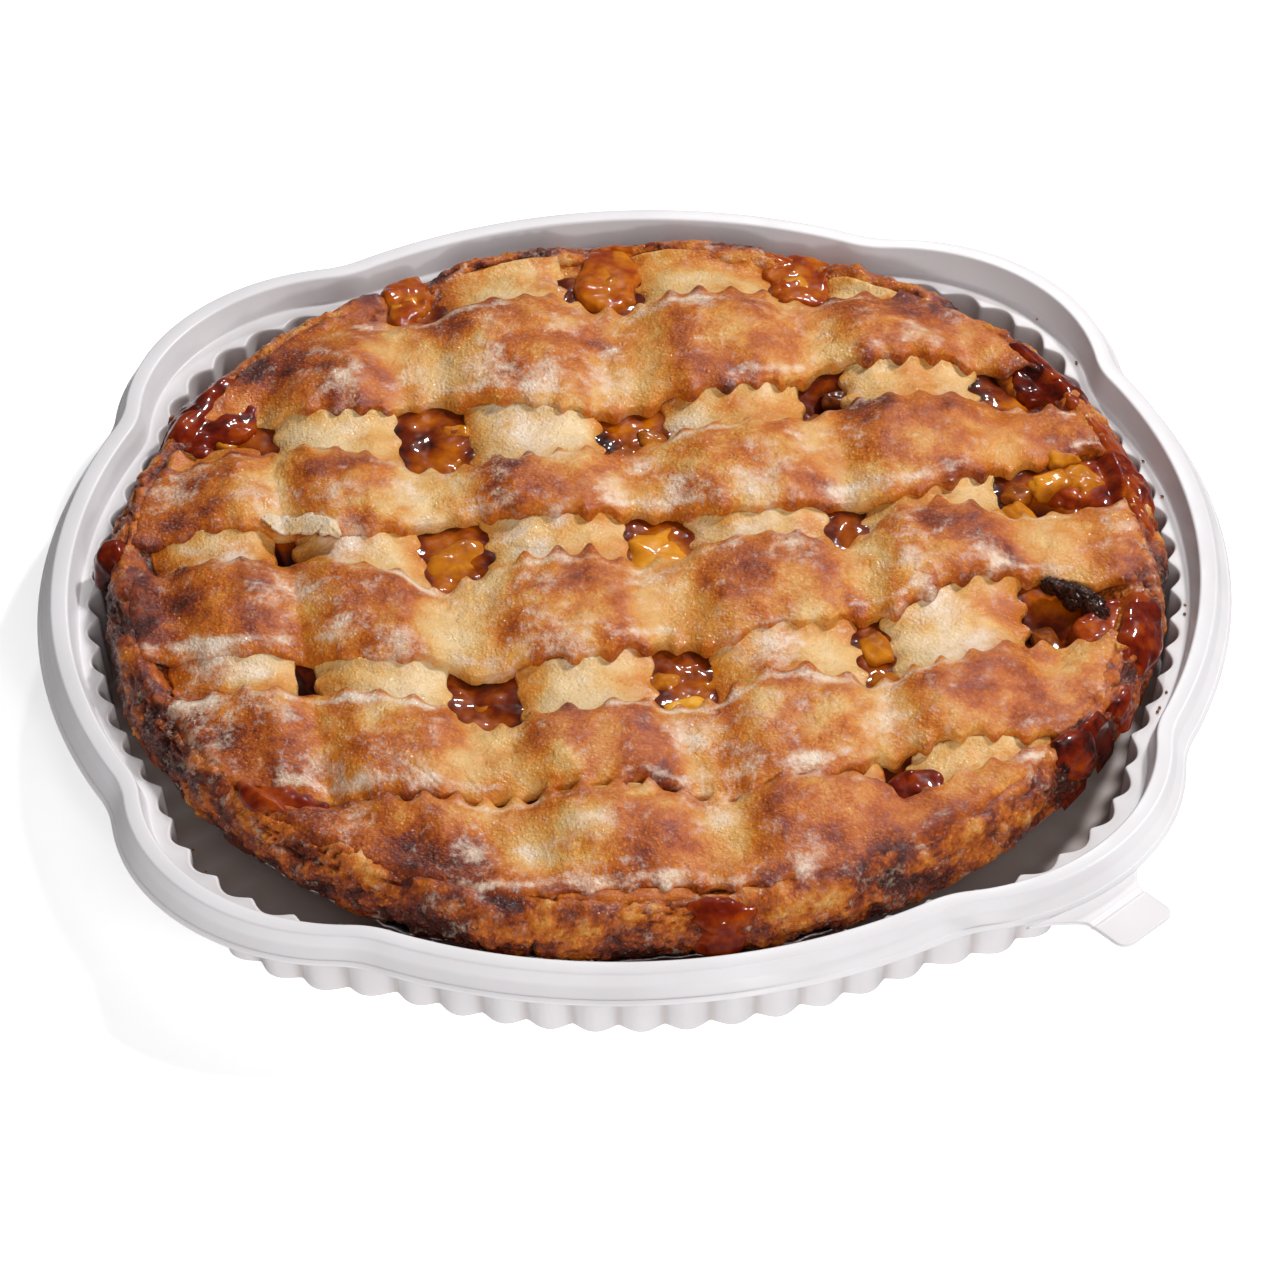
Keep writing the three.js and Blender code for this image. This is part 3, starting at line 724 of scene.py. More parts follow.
def toasted(tree, where, fine, pores, grain, coarse):
    """The crust's colour: its browning with painted shade in it, mottled by grain and ragged patches where it
    is dry, with paler pores.
    """
    bake_and_shade = painted(tree, "bake_and_shade")
    patches = stretched(tree, speckle(tree, where, 6.5, 5, 0.55), 0.38, 0.62)
    mottle = scaled(tree, patches, coarse, -0.5 * coarse)
    mottle = scaled(tree, fine, grain, maths(tree, "SUBTRACT", mottle, 0.5 * grain))
    tone = scaled(tree, mottle, maths(tree, "SUBTRACT", 1.1, painted(tree, "wet")), bake_and_shade)
    tone = scaled(tree, maths(tree, "MULTIPLY", pores, bake_and_shade), -0.22, tone)
    return ramp(tree, tone, CRUST_COLOURS)


def frosted(tree, where, fine, colour):
    """A colour under dried glaze: a pinkish film where frost and noise are high, and where it lies thickest a
    near white that is sugar crystals and painted highlight.
    """
    frost = maths(tree, "SUBTRACT", painted(tree, "frost"), 1.42)
    cover = scaled(tree, speckle(tree, where, 4.0, 5, 0.62), 2.8, frost)
    thick = scaled(tree, fine, 0.45, maths(tree, "SUBTRACT", cover, 0.22))
    film = blended(tree, stretched(tree, thick, 0.25, 1.15, 0.82), colour, FROST_COLOUR)
    # painted highlight as well as sugar: the thickest glaze turns near white
    return blended(tree, stretched(tree, thick, 0.95, 1.9, 0.55), film, SUGAR_AND_HIGHLIGHT_COLOUR)


# %% Finish of the pastry
def pastry_finish(name, grain, coarse, glaze, crust):
    """Baked pastry, with a crust of pores and sugar that is crust millimetres deep, under a broken glaze."""
    material, tree, shader, where = new_finish(
        name, Roughness=0.5, IOR=1.45, Specular_IOR_Level=0.15, Subsurface_Weight=0.06,
        Subsurface_Scale=0.003, Subsurface_Radius=(1.0, 0.4, 0.1), Coat_Weight=glaze, Coat_Roughness=0.08
    )
    fine = stretched(tree, speckle(tree, where, 0.9, 3, 0.6), 0.36, 0.64)
    pores = node(tree, "TexVoronoi", {"Vector": where, "Scale": 1 / (1.1 * MM)}).outputs["Distance"]
    pores = stretched(tree, pores, 0.42, 0.14)
    colour = frosted(tree, where, fine, toasted(tree, where, fine, pores, grain, coarse))
    matt = scaled(tree, fine, 0.22, 0.38)
    gloss = scaled(tree, painted(tree, "wet"), -0.25, matt)
    pored = bump(tree, pores, 0.37 * crust, bump(tree, fine, 0.33 * crust))
    sugary = bump(tree, speckle(tree, where, 0.7, 3, 0.65), crust, pored)
    feed(tree, shader, Base_Color=colour, Roughness=gloss, Normal=sugary, Coat_Normal=sugary)
    return material


rim_pastry = pastry_finish("rim_pastry", 0.13, 0.34, 0.8, 0.36)
upper_pastry = pastry_finish("upper_pastry", 0.14, 0.22, 0.62, 0.3)
lower_pastry = pastry_finish("lower_pastry", 0.14, 0.18, 0.6, 0.25)

# %% Patches of frost and brown
# Places in x and y, with a radius, where dried glaze lies thick, and where the crust is browner.
# Where the glaze lies thickest, its near white is partly painted highlight.
FROST_AT = [
    (-20, 38, 10), (-80, -33, 4), (-28, 58, 8), (-16, 55, 7), (-3, 54, 8), (-1, 64, 6), (-60, 57, 6),
    (-45, 60, 6), (-97, 27, 7), (-78, 20, 8), (-62, 19, 6), (-48, 20, 6), (-44, 10, 5), (-3, 17, 6),
    (-15, 8, 4), (-26, 6, 5), (-60, 4, 7), (-84, 2, 6), (4, 24, 6), (10, 16, 7), (66, 66, 6), (28, 14, 7),
    (17, 78, 6), (45, 12, 6), (14, 3, 5), (-80, -32, 6), (-75, -10, 9), (-62, -25, 7), (-50, -32, 7),
    (-89, -28, 7), (-45, -10, 5), (-68, -62, 6), (-91, -43, 6), (-58, -45, 6), (-46, -71, 5), (-15, -34, 8),
    (-10, -87, 6), (-36, -91, 6), (-26, -90, 5), (4, -13, 7), (34, -8, 7), (58, -14, 6), (62, -26, 7),
    (28, -35, 9), (75, -12, 5), (10, -62, 8), (50, -60, 7), (64, -37, 6), (14, -85, 8), (32, -73, 5),
    (-12, 98, 7), (-70, -12, 6), (-14, -101, 5), (3, -102, 5), (17, -102, 4), (30, -101, 5), (70, -36, 8),
    (-30, -41, 6), (12, 40, 5), (24, 2, 6), (-20, 0, 6),
]
BROWN_AT = [
    (-74, 66, 8), (-57, 30, 6), (-57, 9, 5), (-44, 4, 4), (-27, 20, 8), (-19, 17, 7), (55, 38, 9),
    (70, 38, 9), (56, 66, 7), (24, 27, 8), (-92, -14, 8), (-103, -15, 10), (-98, -44, 11), (-45, -60, 7),
    (-1, -20, 7), (24, -14, 7), (21, -22, 6), (48, -22, 6), (55, -4, 8), (63, -2, 8), (76, -4, 9),
    (75, -24, 8), (75, -50, 12), (30, -49, 9), (40, -81, 9), (-30, -82, 5), (-40, -98, 14), (45, -98, 10),
    (100, -60, 14), (-104, 5, 10), (90, 48, 8), (-30, 46, 5), (22, 47, 5), (-85, 40, 8), (-15, -49, 6),
]


def frost_cover(x, y, seed):
    """How thick the dried glaze lies: a thin film, hills at the named places and soft random patches."""
    patches = smooth(0.0, 0.9, rough(x, y, 15, 3, seed))
    return np.clip(0.03 + 0.8 * hills(x, y, FROST_AT) + 0.34 * patches, 0, 1.1)


# %% Make the rim
RIM_COLUMNS, RIM_ROWS = 1440, 52
RIM_ROUND, RIM_DOWN = 112.0, 45.0  # the angle and along are stretched by these for the rim's colour
CASE_INSIDE = [(86.5, 5.2), (96.5, 20.5)]  # radius and height of rows that the filling hides
CASE_BELOW = [(106.2, 15.4), (88.2, 1.8), (86.5, 1.8)]  # and of those that the pan hides


def with_hidden(values, hidden):
    """A grid of numbers for the rim's outside, and one number for all the hidden rows before and after it."""
    return np.pad(values, ((len(CASE_INSIDE), len(CASE_BELOW)), (0, 0)), constant_values=hidden)


def make_rim():
    """The whole bottom crust: the crumbly outside on a fine grid, and what is hidden on a few rows."""
    around = np.arange(RIM_COLUMNS) / RIM_COLUMNS * TAU
    angle, along = np.meshgrid(around, np.linspace(0, 1, RIM_ROWS))
    relief = rim_relief(angle, along)
    outside = rim_surface(angle, along)
    outside = outside + rim_normals(outside) * relief[..., None]
    grid = np.concatenate([turned(CASE_INSIDE, around), outside, turned(CASE_BELOW, around)])
    x, y = outside[..., 0], outside[..., 1]
    patches = 0.16 * rough(angle * RIM_ROUND, along * RIM_DOWN, 18, 4, 43)
    patches = patches + 0.13 * rough(angle * RIM_ROUND, along * RIM_DOWN, 6, 3, 45)
    bake_and_shade = 0.68 + 0.2 * smooth(0.45, 0.75, along) - 0.06 * smooth(0.85, 1, along)
    # painted shade and light: darker where the relief sinks into cracks, lighter where it stands up
    bake_and_shade += patches + 0.18 * hills(x, y, BROWN_AT) - 0.17 * relief
    bake_and_shade = np.maximum(bake_and_shade, 0.45 + 0.3 * (bake_and_shade - 0.45))
    frost = 0.5 * frost_cover(x, y, 47) * (1 - 0.8 * smooth(0.5, 0.9, along))
    fields = {"bake_and_shade": with_hidden(bake_and_shade, 0.5), "frost": with_hidden(frost, 0), "wet": with_hidden(0 * bake_and_shade, 0)}
    return make_tube("crust_rim", grid, rim_pastry, "rim_pastry", ["pastry_case"], **fields)


make_rim()

# %% [markdown]
# ## The strips
# Each strip is a slab of dough cut with a fluted wheel. It could be a plank with a displacement
# texture, but the cut edge must stay crisp. So its section is drawn once, as a closed loop across
# the strip, and carried along the strip's own middle line. The wheel's waves move the edges of
# the section in and out, and the heights come from the dome, the layer below and the relief.

# %% The section of a strip
TOP_COLUMNS, SIDE_COLUMNS, UNDER_COLUMNS = 58, 5, 9


def strip_section():
    """Across and part for each column of the loop. part is 0 on top, 1 below and between on the sides."""
    t = np.linspace(-1, 1, TOP_COLUMNS)
    top = 0.55 * t + 0.45 * np.sin(t * TAU / 4)
    side = np.linspace(0, 1, SIDE_COLUMNS + 2)[1:-1]
    below = np.linspace(1, -1, UNDER_COLUMNS)
    across = np.concatenate([top, np.ones(SIDE_COLUMNS), below, -np.ones(SIDE_COLUMNS)])
    part = np.concatenate([0 * top, side, np.ones(UNDER_COLUMNS), side[::-1]])
    return across, part


def strip_reach(line, half, across, limit, sign):
    """How far each column of a strip runs until it meets the circle of radius limit, by halving the range."""
    low, high = np.zeros_like(across), np.full_like(across, limit)
    for _ in range(30):
        try_at = (low + high) / 2
        inside = np.hypot(try_at, line(sign * try_at) + across * half(sign * try_at)) < limit
        low, high = np.where(inside, try_at, low), np.where(inside, high, try_at)
    return sign * low


# %% Waves of the wheel and relief of the dough
def wheel_wave(along, seed):
    """The fluted wheel's cut: rounded teeth of uneven size, from -1 to 1."""
    phase = along / PINKING + 0.45 * lumps(along, 0 * along + seed, 23, seed)
    wave = np.cos(TAU * phase) + 0.14 * np.cos(2 * TAU * phase)
    faded = smooth(-0.7, 0.2, lumps(along, 0 * along + 7.5, 24, seed + 2))
    return wave * mix(0.35, 1, faded) * (0.9 + 0.4 * lumps(along, 0 * along + 3.5, 9, seed + 1))


def strip_relief(x, y, seed):
    """Puffs, soft wrinkles, small blisters and a few flaky cracks, in millimetres."""
    relief = 0.55 * rough(x, y, 10, 2, seed) + 0.22 * rough(x, y, 3.6, 3, seed + 5)
    size, blister = grains(x + 0.4 * lumps(x, y, 2, seed + 9), y, 3.4, seed + 11, 0.05, 0.55)
    relief += 0.42 * np.maximum(size - 0.45, 0) * blister
    size, grain = grains(x, y, 1.15, seed + 13, 0.1, 0.6)
    relief += 0.11 * (size - 0.3) * grain
    flaky = smooth(0.1, 0.55, lumps(x, y, 12, seed + 17))
    return relief - flaky * 0.4 * cracks(x + 0.8 * lumps(x, y, 2.5, seed + 19), y, 6.5, 0.22, seed + 23)


# %% A strip in plan
LAYERS = {  # underside, thickness, radius where it ends, how far it is proud of the rim, depth of its teeth
    "lower": (under_bottom, UNDER_THICK, 107.5, 0.1, 0.8),
    "upper": (over_bottom, OVER_THICK, 109.0, 0.7, 1.3),
}
ROW_STEP = 0.45


def strip_plan(line, half, place, stop, limit, teeth, seed):
    """x, y, across, part, wave and how crisp the cut is, for the section carried from rim to rim."""
    across, part = strip_section()
    first = strip_reach(line, half, across, limit, -1)
    last = strip_reach(line, half, across, limit, 1)
    last = np.minimum(last, stop + 1.2 * lumps(across * 9, 0 * across, 4, seed))
    rows = int((last - first).max() / ROW_STEP)
    along = mix(first, last, np.linspace(0, 1, rows)[:, None])
    across, part = np.broadcast_to(across, along.shape), np.broadcast_to(part, along.shape)
    side = np.sign(across)
    wave = wheel_wave(along, seed + 3 * (side > 0))
    sway = 0.8 * lumps(along, 5 * side, 21, seed + 31)
    crisp = mix(0.45, 1, smooth(-68, -36, place(along, line(along))[0]))
    cross = line(along) + across * half(along) + side * np.abs(across) ** 6 * (teeth * crisp * wave + sway)
    x, y = place(along, cross + side * 0.35 * np.sin(np.pi * part))
    return x, y, across, part, wave, crisp


# %% A strip's heights
def swollen(top, x, y):
    """A lower strip swells where it comes out from under an upper one."""
    beside = over_away(x, y)
    return top + np.where(beside > -0.5, 1.3 * np.exp(-np.maximum(beside, 0) / 1.7), 0)


def held_up(top, x, y, crisp, relief):
    """An upper strip's top, raised where it would sink into what carries it, and rounded where it starts."""
    held = 1 - smooth(-2.5, 1.0, under_away(x, y))
    rest = mix(dome_at(x, y) + 1.0, under_top(x, y) + 0.3, held) + 1.1 * crisp - 0.1 + 0.3 * relief
    return np.maximum(top, rest) + 0.25 * np.exp(-np.abs(top - rest) / 0.5)


def sealed(top, under, x, y, limit, proud, relief, seed):
    """Both faces of a strip, brought onto the rim, pressed into it unevenly and rounded off at the limit."""
    r = np.hypot(x, y)
    level = RIM_TOP_HEIGHT - rim_sinks(np.arctan2(y, x))
    sunk = smooth(104.5, limit - 0.5, r) * np.clip(1.0 + 1.3 * lumps(x, y, 11, seed + 61), 0, 2)
    top = mix(top, level + proud + relief - 0.9 * sunk, smooth(101, 107, r))
    under = mix(under, level - 2.2, smooth(101, 105, r))
    return top - 2.2 * smooth(limit - 3.5, limit, r) ** 2, under


# %% [markdown]
# A strip's colours follow from its shape. Pillows, teeth and the rim stand up in the heat and turn
# brown. The valleys stay pale, because jelly boils up beside them and soaks the dough.

# %% Where a strip is brown, pale, frosted or soaked, and where shade is painted on it
def rim_brown_and_shade(x, y):
    """How much darker the pie is towards its rim: browner all round, with painted shade that is most at the
    front left, away from the key light.
    """
    return 0.15 + 0.11 * np.cos(np.arctan2(y, x) - np.radians(215))


def near_rim(x, y):
    """0 in the middle of the pie, rising to 1 on its rim."""
    return smooth(86, 107, np.hypot(x, y))


def lower_tones(x, y, across, tips, seed):
    """Browning with painted shade, frost and wet of a lower strip: pale, soaked along its edges, brown at the
    rim and painted darker there on the side away from the key light.
    """
    outer = near_rim(x, y)
    soaked = smooth(0.55, 1.0, np.abs(across)) * (1 - outer)
    # near the rim, painted shade darkens the side away from the key light
    bake_and_shade = 0.17 + 0.22 * rough(x, y, 13, 3, seed + 41) + 0.45 * tips + (rim_brown_and_shade(x, y) + 0.14) * outer
    bake_and_shade = bake_and_shade + 0.1 * soaked + 0.14 * hills(x, y, BROWN_AT)
    frost = (1.35 - 0.8 * soaked) * (1 - 0.8 * outer) * frost_cover(x, y, 53)
    return bake_and_shade, frost, 0.45 * (1 - outer) + 0.55 * soaked


def upper_tones(x, y, across, tips, seed):
    """Browning with painted shade, frost and wet of an upper strip: brown on pillows and teeth, pale and
    soaked in its valleys, and near the rim painted darker on the side away from the key light.
    """
    outer = near_rim(x, y)
    uneven = rough(x, y, 13, 3, seed + 41)
    stray = 4.5 * lumps(x, y, 14, seed + 47) + 2.5 * lumps(x, y, 5, seed + 49)
    valley = smooth(-3.5, 3.5, under_away(x + stray, y)) * (1 - outer)
    valley = valley * (0.75 + 0.4 * lumps(x, y, 19, seed + 51))
    # near the rim, painted shade darkens the side away from the key light
    bake_and_shade = 0.49 + 0.19 * uneven + tips + rim_brown_and_shade(x, y) * outer + 0.15 * hills(x, y, BROWN_AT)
    bake_and_shade = mix(bake_and_shade + 0.07 * smooth(38, 60, y), 0.2 + 0.16 * uneven + 0.4 * tips, 0.9 * valley)
    # a pale line along both edges of each upper strip: glaze, and a painted highlight
    lip_glaze_and_highlight = np.exp(-(((np.abs(across) - 0.8) / 0.09) ** 2)) * smooth(-0.1, 0.5, lumps(x, y, 17, seed + 53))
    frost = frost_cover(x, y, 59) * (1 - 0.1 * valley) + 0.75 * lip_glaze_and_highlight
    return bake_and_shade, frost, 0.75 * valley


# %% A strip of the lattice
def make_strip(name, solid, layer, seed, line, half, place, stop=np.inf):
    """One strip: line and half give its middle and half width, place turns (along, across) into (x, y)."""
    lower = layer == "lower"
    bottom, thick, limit, proud, teeth = LAYERS[layer]
    x, y, across, part, wave, crisp = strip_plan(line, half, place, stop, limit, teeth, seed)
    edge = np.abs(across) ** 6
    relief = strip_relief(x, y, seed) * (1 - 0.5 * edge) * (0.8 if lower else 1)
    fall = 0.85 * np.abs(across) ** 2.6 if lower else (0.8 - 0.34 * crisp) * np.abs(across) ** 3.5
    under = bottom(x, y)
    top = under + thick * pressed(np.hypot(x, y)) * (1 - fall) + relief + edge * (0.35 * wave - 0.2)
    top = swollen(top, x, y) if lower else held_up(top, x, y, crisp, relief)
    top, under = sealed(top, under - 1.7 * np.abs(across) ** 3, x, y, limit, proud, relief, seed)
    tips = edge * (0.03 + 0.09 * wave)
    bake_and_shade, frost, wet = (lower_tones if lower else upper_tones)(x, y, across, tips, seed)
    finish = lower_pastry if lower else upper_pastry
    grid = np.stack([x, y, mix(top, under, part)], -1)
    fields = {"bake_and_shade": bake_and_shade + 0.06 * part, "frost": frost * (1 - part), "wet": wet}
    return make_tube(name, grid, finish, f"{layer}_pastry", [solid], **fields)


# %% Make the lower strips
for number, (offset, lean, width, stop) in enumerate(UNDER, 1):
    make_strip(
        f"lower_strip_{number}", f"under_strip_{number}", "lower", 200 + 40 * number,
        line=lambda along: offset + lean * along,
        half=lambda along: width / 2 + 0 * along,
        place=lambda along, cross: (cross, along),
        stop=stop,
    )

# %% Make the upper strips
for number, (far, near) in enumerate(OVER, 1):
    make_strip(
        f"upper_strip_{number}", f"over_strip_{number}", "upper", 500 + 40 * number,
        line=lambda along: (through(far, along) + through(near, along)) / 2,
        half=lambda along: (through(far, along) - through(near, along)) / 2,
        place=lambda along, cross: (along, cross),
    )

# %% [markdown]
# ## The filling
# What shows between the strips is diced apple in amber jelly, wet enough to mirror the light.
# The jelly is one skin over the whole pie, thick where it pools, and the dice are lumps of their
# own that break through it.

# %% Finish of the jelly
def jelly_finish(name, stops, shine):
    """Clear jelly as a glossy skin: a colour for each tone, clouded by soft patches, under a thin coat."""
    material, tree, shader, where = new_finish(
        name, Roughness=0.3, IOR=1.4, Specular_IOR_Level=0.1, Subsurface_Weight=0.05,
        Subsurface_Scale=0.002, Subsurface_Radius=(1.0, 0.3, 0.05), Coat_Weight=shine,
        Coat_Roughness=0.02, Coat_IOR=1.4
    )
    cloudy = scaled(tree, speckle(tree, where, 4.0, 4, 0.6), 0.7, -0.35)
    colour = ramp(tree, maths(tree, "ADD", painted(tree, "tone"), cloudy), stops)
    rippled = bump(tree, speckle(tree, where, 1.9, 0, 0.4), 0.06)
    feed(tree, shader, Base_Color=colour, Normal=rippled, Coat_Normal=rippled)
    return material


AMBER_COLOURS = [
    (0.0, 0.020, 0.002, 0.0), (0.25, 0.13, 0.013, 0.0), (0.5, 0.32, 0.060, 0.0),
    (0.75, 0.55, 0.160, 0.001), (1.0, 0.76, 0.340, 0.020),
]
amber_jelly = jelly_finish("amber_jelly", AMBER_COLOURS, 0.7)

# %% Tone and height of the jelly
# Tones near 0, in the sunken holes, stand for dark jelly and also for painted shadow deep in the holes.
WINDOW_TONES = [  # x, y, size and tone of what shows there: 0 is burnt red and 1 is pale apple
    (-42, 42, 6, 0.2), (-38, 34, 7, 0.55), (-4, 38, 5, 0.22), (6, 37, 7, 0.45), (44, 48, 6, 0.05),
    (41, 39, 5, 0.18), (-38, 0, 9, 0.62), (-41, -10, 6, 0.55), (5, 0, 8, 0.8), (-33, -46, 6, 0.4),
    (-33, -54, 6, 0.6), (9, -40, 8, 0.45), (10, -50, 6, 0.7), (49, -34, 6, 0.7), (51, -44, 6, 0.65),
    (85, -27, 8, 0.03), (90, -34, 5, 0.3), (84, 8, 8, 0.5), (88, 9, 4, 0.02), (-70, -38, 5, 0.15),
    (53, -76, 6, 0.14), (-73, 6, 4, 0.12), (-75, -70, 9, 0.2), (-28, -79, 4, 0.5), (-84, 50, 8, 0.6),
    (84, 54, 8, 0.4),
]
SUNKEN_TONE = 0.2  # where the tone is lower, the jelly has sunk into a hole


def chunks(x, y, cell, seed, contrast, middle, wide):
    """Lighter and darker fruit in the jelly, one piece to a cell, between thin dark borders."""
    nearest, second, number = cells(x, y, cell, seed)
    fruit = contrast * (number - middle) * (1 - smooth(0.2, wide, nearest))
    return fruit - 0.05 * (1 - smooth(0, 0.3, second - nearest))


def window_tone(x, y):
    """The tone of the filling at each point: a middle value drawn towards the tone of a window nearby, with
    painted shadow next to the strips.
    """
    tone = np.full(np.shape(x), 0.5)
    for a, b, size, value in WINDOW_TONES:
        tone = mix(tone, value, np.minimum(1, 1.3 * hills(x, y, [(a, b, size)])))
    # painted shadow: the jelly darkens within 3.6 mm of the edges of the strips
    painted_shadow = 1 - smooth(0, 3.6, np.minimum(over_away(x, y), under_away(x, y)))
    x, y = x + 1.6 * lumps(x, y, 4, 75), y + 1.6 * lumps(x, y, 4, 76)
    return tone + chunks(x, y, 8.5, 77, 0.34, 0.5, 0.7) - 0.3 * painted_shadow


def jelly_height(x, y):
    """The skin of the jelly: the dome, with mounds over hidden fruit, ripples and some sunken places."""
    size, mound = grains(x, y, 8.5, 61, 0.1, 0.95)
    sunk = hills(x, y, [(a, b, 1.3 * size) for a, b, size, tone in WINDOW_TONES if tone < SUNKEN_TONE])
    return dome_at(x, y) + 0.4 + (0.1 + 0.7 * size) * mound + 0.16 * rough(x, y, 2.4, 2, 67) - 4.6 * sunk


# %% Make the jelly
FILLING_COLUMNS, FILLING_ROWS = 540, 180
FILLING_FOOT = [(85.5, 5.5), (2.0, 5.5)]  # radius and height of the hidden rows


def make_filling():
    """A round cake of filling: the wet skin on a fine grid, and the hidden side and base on a few rows."""
    around = np.arange(FILLING_COLUMNS) / FILLING_COLUMNS * TAU
    radius, angle = np.meshgrid(np.linspace(0.6, 98.8, FILLING_ROWS), around, indexing="ij")
    x, y = radius * np.cos(angle), radius * np.sin(angle)
    skin = np.stack([x, y, np.minimum(jelly_height(x, y), dome(radius) + 2.2)], -1)
    tone = np.pad(window_tone(x, y) + 0.1 * lumps(x, y, 6, 73), ((0, 2), (0, 0)), constant_values=0.5)
    grid = np.concatenate([skin, turned(FILLING_FOOT, around)])
    return make_tube("apple_filling_skin", grid, amber_jelly, "filling", ["apple_filling"], tone=tone)


make_filling()

# %% [markdown]
# ## Apple dice
# The dice are soft cubes with cooked, rounded corners. A cube with a bevel would be too regular,
# so each one is a superellipsoid: a sphere whose sines and cosines are raised to a power below 1,
# which squares it, and then pushed about by lumps. Those of one kind are joined in one mesh.

# %% One soft cube
def signed_power(value, power):
    """The value's size raised to a power, with its sign kept."""
    return np.sign(value) * np.abs(value) ** power


def soft_cube(place, size, turn, square, lump, seed, steps=(17, 26)):
    """A superellipsoid's points at place, with half sizes size, turned by degrees. square below 1 is boxy."""
    tilt = np.linspace(-TAU / 4 + 0.06, TAU / 4 - 0.06, steps[0])
    rise, angle = np.meshgrid(tilt, np.arange(steps[1]) / steps[1] * TAU, indexing="ij")
    x = signed_power(np.cos(rise), square) * signed_power(np.cos(angle), square)
    y = signed_power(np.cos(rise), square) * signed_power(np.sin(angle), square)
    z = signed_power(np.sin(rise), square)
    swell = 1 + lump * rough(2.2 * x + 1.7 * z + seed, 2.2 * y - 1.3 * z, 1.1, 2, seed)
    x, y, z = x * size[0] * swell, y * size[1] * swell, z * size[2] * swell
    return np.stack([*set_down(x, y, place, turn), place[2] + z], -1)


def tone_darker_at_sides(cube, tone, seed):
    """A tone for each point of a cube's tube: darker and uneven at its sides, and plain at both poles."""
    points = cube.reshape(-1, 3)
    off = (points - points.mean(0)) / np.abs(cube - points.mean(0)).max((0, 1))
    sides = 0.06 - 0.2 * np.abs(off[:, :2]).max(1) ** 4 + 0.1 * rough(off[:, 0], off[:, 1], 0.7, 2, seed)
    return np.append(tone + sides, [tone, tone])


# %% Dice in the windows
# Middle in x and y, half sizes, turn in degrees, tone, and how far it stands above the dome.
DICE = [
    (-39, 34, 6.6, 5.0, 35, 0.52, 0.2), (-36, 44, 3.4, 2.8, 10, 0.5, 1.0),
    (-44.5, 29, 3.0, 2.6, 60, 0.34, 0.2), (6.5, 37, 3.2, 4.2, 15, 0.42, 1.6),
    (-1, 33.5, 4.0, 3.0, 40, 0.28, 0.8), (-5, 42, 3.0, 2.8, 0, 0.22, 0.4),
    (42, 41, 3.2, 3.0, 25, 0.25, 1.0), (46.5, 50, 3.0, 2.5, 10, 0.12, 0.8),
    (-38, 1.5, 7.4, 6.2, 12, 0.47, 1.2), (5.0, -1.0, 7.0, 8.4, 14, 0.74, 1.9),
    (-3.5, 5, 2.4, 3.0, 40, 0.35, 0.4), (-32, -44.5, 4.4, 3.0, 10, 0.38, 0.4),
    (-33, -53, 4.4, 3.0, 10, 0.52, 0.6), (8.5, -50, 4.8, 3.2, 8, 0.88, 1.8),
    (14.5, -40, 3.4, 4.6, 25, 0.44, 0.8), (4.5, -41, 3.6, 3.6, -20, 0.42, 0.8),
    (49, -34, 3.6, 5.0, 12, 0.48, 2.0), (50.5, -45, 3.4, 4.0, 20, 0.46, 1.6),
    (54, -77, 4.6, 3.2, 20, 0.26, 1.6), (83, 6, 3.2, 5.0, 30, 0.55, 2.4),
    (90.5, 17, 4.8, 3.4, 20, 0.6, 3.4), (83, 14, 3.6, 3.0, 50, 0.36, 2.4), (97, 18, 4.2, 5.0, 35, 0.5, 3.2),
    (94, 26, 3.6, 3.0, 15, 0.6, 3.2), (85, -31, 3.0, 5.6, 5, 0.30, -0.6), (90, -35, 4.4, 3.0, 5, 0.2, -1.0),
    (99, -28, 4.4, 4.6, 30, 0.46, 1.4), (-85, 49, 5.0, 4.4, 30, 0.56, 2.2),
    (-93, 57, 4.6, 4.6, 50, 0.28, 3.0), (87, 54, 4.0, 3.8, 25, 0.30, 2.4),
    (-46, 90, 3.6, 5.0, 10, 0.5, 2.2), (0, 91, 4.6, 5.4, 25, 0.5, 2.2), (41, 90, 4.8, 4.6, 15, 0.56, 2.2),
]
APPLE_COLOURS = [
    (0.0, 0.04, 0.006, 0.002), (0.3, 0.20, 0.040, 0.003), (0.5, 0.42, 0.120, 0.005),
    (0.75, 0.66, 0.240, 0.010), (1.0, 0.80, 0.400, 0.040),
]
apple = jelly_finish("cooked_apple", APPLE_COLOURS, 0.5)


def make_dice():
    """Each die sits where its window is, sunk in the jelly but for what it stands above."""
    cubes, tones = [], []
    for number, (x, y, long, wide, turn, tone, above) in enumerate(DICE):
        high = 0.55 * min(long, wide) + 0.8
        place = (x, y, float(dome_at(x, y)) + above - high)
        cubes.append(soft_cube(place, (long, wide, high), turn, 0.55, 0.14, 900 + 7 * number))
        tones.append(tone_darker_at_sides(cubes[-1], tone, 444 * number))
    parts = joined([tube_parts(cube) for cube in cubes])
    return make_piece("apple_dice", parts, apple, "filling", tone=np.concatenate(tones))


make_dice()

# %% [markdown]
# ## Pools of jelly
# Jelly boiled up between the strips and set in pools, some of which ran out over the rim. A fluid
# simulation would be slow and hard to steer. Each pool is a lens instead: its top is the level
# that carries it, which is the dome inside and the rim further out, plus a swelling that is 1 in
# the middle and sinks under the crust at a ragged outline.

# %% What carries a pool, and how it swells
OUTER = int(np.argmax(RIM_CURVE[:, 0]))  # the profile's outermost point


def rim_height(x, y):
    """The height of the rim without its relief at a point in plan."""
    height = np.interp(np.hypot(x, y), RIM_CURVE[: OUTER + 1, 0], RIM_CURVE[: OUTER + 1, 1])
    return height - rim_sinks(np.arctan2(y, x))


